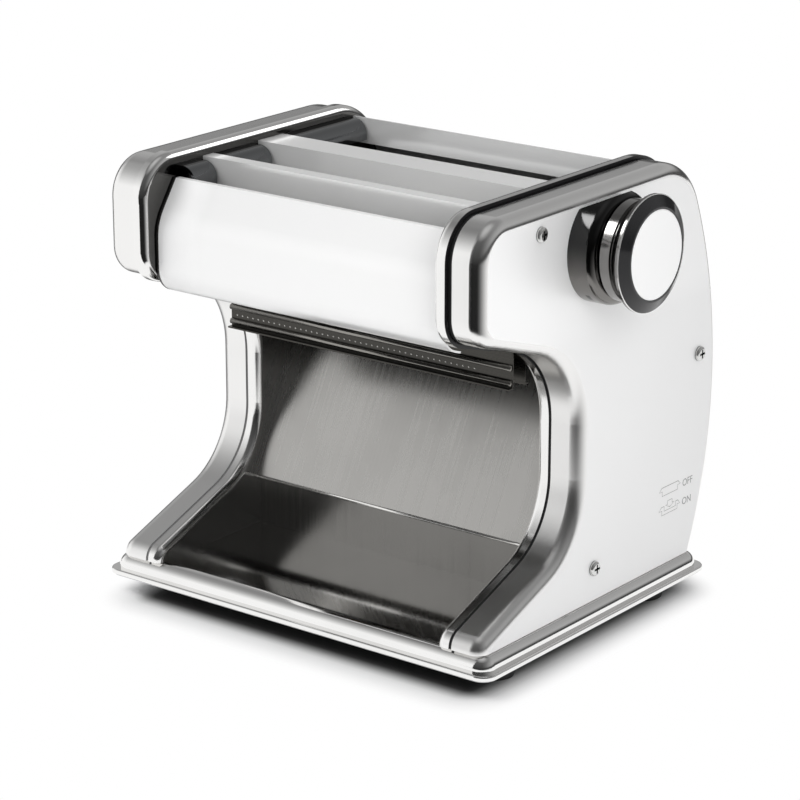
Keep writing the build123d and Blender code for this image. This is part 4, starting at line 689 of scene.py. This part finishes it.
bar = [(53.85, 61.0), (56.25, 63.0), (71.85, 63.0), (74.05, 61.0)]
bar += [(71.45, 60.9), (71.45, 58.4), (56.75, 58.4), (56.75, 60.9)]
tongued = [(53.85, 50.3), (56.25, 52.3), (58.95, 52.3), (58.95, 49.7), (69.85, 49.7), (69.85, 52.3)]
tongued += [(71.85, 52.3), (74.05, 50.3), (71.45, 50.2), (71.45, 47.7), (56.75, 47.7), (56.75, 50.2)]
tongue = [(60.25, 52.6), (62.15, 52.6), (62.15, 54.6), (66.55, 54.6), (66.55, 52.6), (68.65, 52.6)]
tongue += [(64.35, 50.7)]
on_face = Matrix.Translation((side_face + ink_lift, 0, 0)) @ Matrix.Diagonal((ink_flat, 1, 1, 1))
for name, points in (("mark_off_outline", bar), ("mark_on_outline", tongued), ("mark_on_tongue", tongue)):
    printed(name, outline(points), on_face)
words = (("mark_off_word", "OFF", off_word_height), ("mark_on_word", "ON", on_word_height))
for name, word, height in words:
    upright = ((0, 0, 1, side_face + ink_lift), (1, 0, 0, word_start), (0, 1, 0, height), (0, 0, 0, 1))
    printed(name, lettered(word), Matrix(upright))

# Studio: a white room with a pale wall to the left and a dark side where the camera stands,
# which polished steel mirrors. The compass angles are in degrees from X towards Y.
world = bpy.data.worlds.new("studio")
bpy.context.scene.world = world
world.use_nodes = True
sky = Tree(world.node_tree)
east, north, up = sky.split(sky.coordinates("Generated"))
compass = north.angle(east)
camera_side = compass.steps(-120, -117) * (1 - compass.steps(-60, 50))
rear_side = compass.steps(-60, 50) * (1 - compass.steps(166, 179))
left_side = 1 - camera_side - rear_side
left_wall = up.ramp(
    (0.0, 1.0), (0.3, 1.0), (0.5, 0.75), (0.66, 0.5), (0.76, 0.34), (0.84, 0.16), (0.92, 0.25), (1.0, 0.5)
)
dark_wall = up.ramp((0.0, 0.03), (0.8, 0.1), (0.92, 0.3), (1.0, 0.5))
rear_wall = up.ramp(
    (0.0, 0.06), (0.13, 0.06), (0.22, 0.26), (0.32, 0.42), (0.6, 0.36), (0.78, 0.24), (0.9, 0.25), (1.0, 0.5)
)
room_light = 0.58
walls = left_side * left_wall + camera_side * dark_wall + rear_side * rear_wall
mirrored = sky.ray("Is Glossy Ray")
seen = sky.ray("Is Camera Ray")
lit = mirrored * walls + (1 - mirrored) * room_light
sky.plug(world.node_tree.nodes["Background"].inputs["Color"], seen + (1 - seen) * lit)


def lamp(name, place, target, width, height, power, spread=180):
    """A soft rectangular lamp, aimed at a point and hidden from reflections."""
    light = bpy.data.lights.new(name, "AREA")
    light.shape = "RECTANGLE"
    light.size = width
    light.size_y = height
    light.energy = power
    light.spread = radians(spread)
    holder = bpy.data.objects.new(name, light)
    bpy.context.scene.collection.objects.link(holder)
    holder.location = place
    holder.rotation_mode = "QUATERNION"
    holder.rotation_quaternion = (Vector(target) - Vector(place)).to_track_quat("-Z", "Y")
    holder.visible_glossy = False
    return holder


lamp("key", (-1.2, -1.0, 1.6), target=(0, 0, 0.1), width=1.2, height=1.2, power=17)
lamp("top", (0.4, 0.8, 1.9), target=(0, 0, 0.1), width=1.6, height=1.2, power=4)
lamp(
    "side", (0.375, -0.227, 0.347), target=(0.105, -0.07, 0.19), width=0.25, height=0.25, power=0.12,
    spread=60,
)


def reflect_in(name, light, *names):
    """Lets a lamp show in polished surfaces, and lets it light only the named nodes."""
    light.visible_glossy = True
    lit_nodes = bpy.data.collections.new(name)
    for node in names:
        lit_nodes.objects.link(nodes[node])
    light.light_linking.receiver_collection = lit_nodes


dial_lamp = lamp("dial_sheen", (-0.64, -0.62, 1.15), target=(0.12, 0, 0.21), width=0.4, height=0.5, power=7)
reflect_in("lit_by_dial_sheen", dial_lamp, "dial_collar", "dial_body", "dial_ring")
edge_lamp = lamp("edge_sheen", (0.62, 1.13, 0.98), target=(-0.1, 0, 0.23), width=0.7, height=0.7, power=2.2)
reflect_in("lit_by_edge_sheen", edge_lamp, "left_inner_casing")

# Floor: a plain pale sheet whose colour has a soft contact shadow painted under the tray, on
# top of the real shadow, and that polished steel mirrors dark towards the camera and behind
# the machine.
floor_radius = 6
shape = bmesh.new()
bmesh.ops.create_circle(shape, cap_ends=True, radius=floor_radius, segments=64)
mesh = bpy.data.meshes.new("floor")
shape.to_mesh(mesh)
shape.free()
floor = bpy.data.objects.new("floor", mesh)
bpy.context.scene.collection.objects.link(floor)
ground = Finish("floor_white", roughness=0.8)


def vector(operation, first, second=(0, 0, 0), output="Vector"):
    """One step of vector arithmetic in the floor's material."""
    inputs = {0: first, 1: second}
    return ground.node("ShaderNodeVectorMath", {"operation": operation}, inputs, output)


spot = ground.coordinates()
centre_shift = (0.007, 0.013, 0)
shadow_half = (0.1, 0.084, 0)
off_centre = vector("ABSOLUTE", vector("ADD", spot, centre_shift))
outside = vector("MAXIMUM", vector("SUBTRACT", off_centre, shadow_half))
beside = vector("LENGTH", outside, output="Value")
shadow_fade = 24
# Painted shadow: the floor's colour darkens towards the tray's footprint.
painted_shadow = (beside * shadow_fade).ramp(
    (0.0, 0.04), (0.1, 0.08), (0.2, 0.34), (0.28, 0.66), (0.36, 0.93), (0.44, 1.0)
)

away = vector("LENGTH", spot, output="Value")
rear_corner = (-0.09, 0.09, 0)
east, north, _ = ground.split(vector("ADD", spot, rear_corner))
compass = north.angle(east)
camera_dark = 0.985
rear_dark = 0.8
toward = compass.steps(-121, -117) * (1 - compass.steps(-60, 50)) * away.steps(0.24, 0.31) * camera_dark
rearward = (-0.61, 0.79, 0)
back_reach = vector("DOT_PRODUCT", spot, rearward, "Value")
behind = back_reach.steps(0.12, 0.22) * compass.steps(84, 100) * rear_dark
mirrored = ground.ray("Is Glossy Ray")
seen = ground.ray("Is Camera Ray")

glow = ground.tree.nodes.new("ShaderNodeEmission")
blend = ground.tree.nodes.new("ShaderNodeMixShader")
ground.feed("Base Color", painted_shadow)
ground.plug(glow.inputs["Color"], 1 - (toward + behind) * mirrored)
ground.plug(blend.inputs[0], beside.steps(0.014, 0.034) * (seen + mirrored))
ground.tree.links.new(ground.shader.outputs[0], blend.inputs[1])
ground.tree.links.new(glow.outputs[0], blend.inputs[2])
ground.tree.links.new(blend.outputs[0], ground.tree.nodes["Material Output"].inputs["Surface"])
floor.data.materials.append(ground.material)
bpy.context.scene.view_settings.view_transform = "Standard"
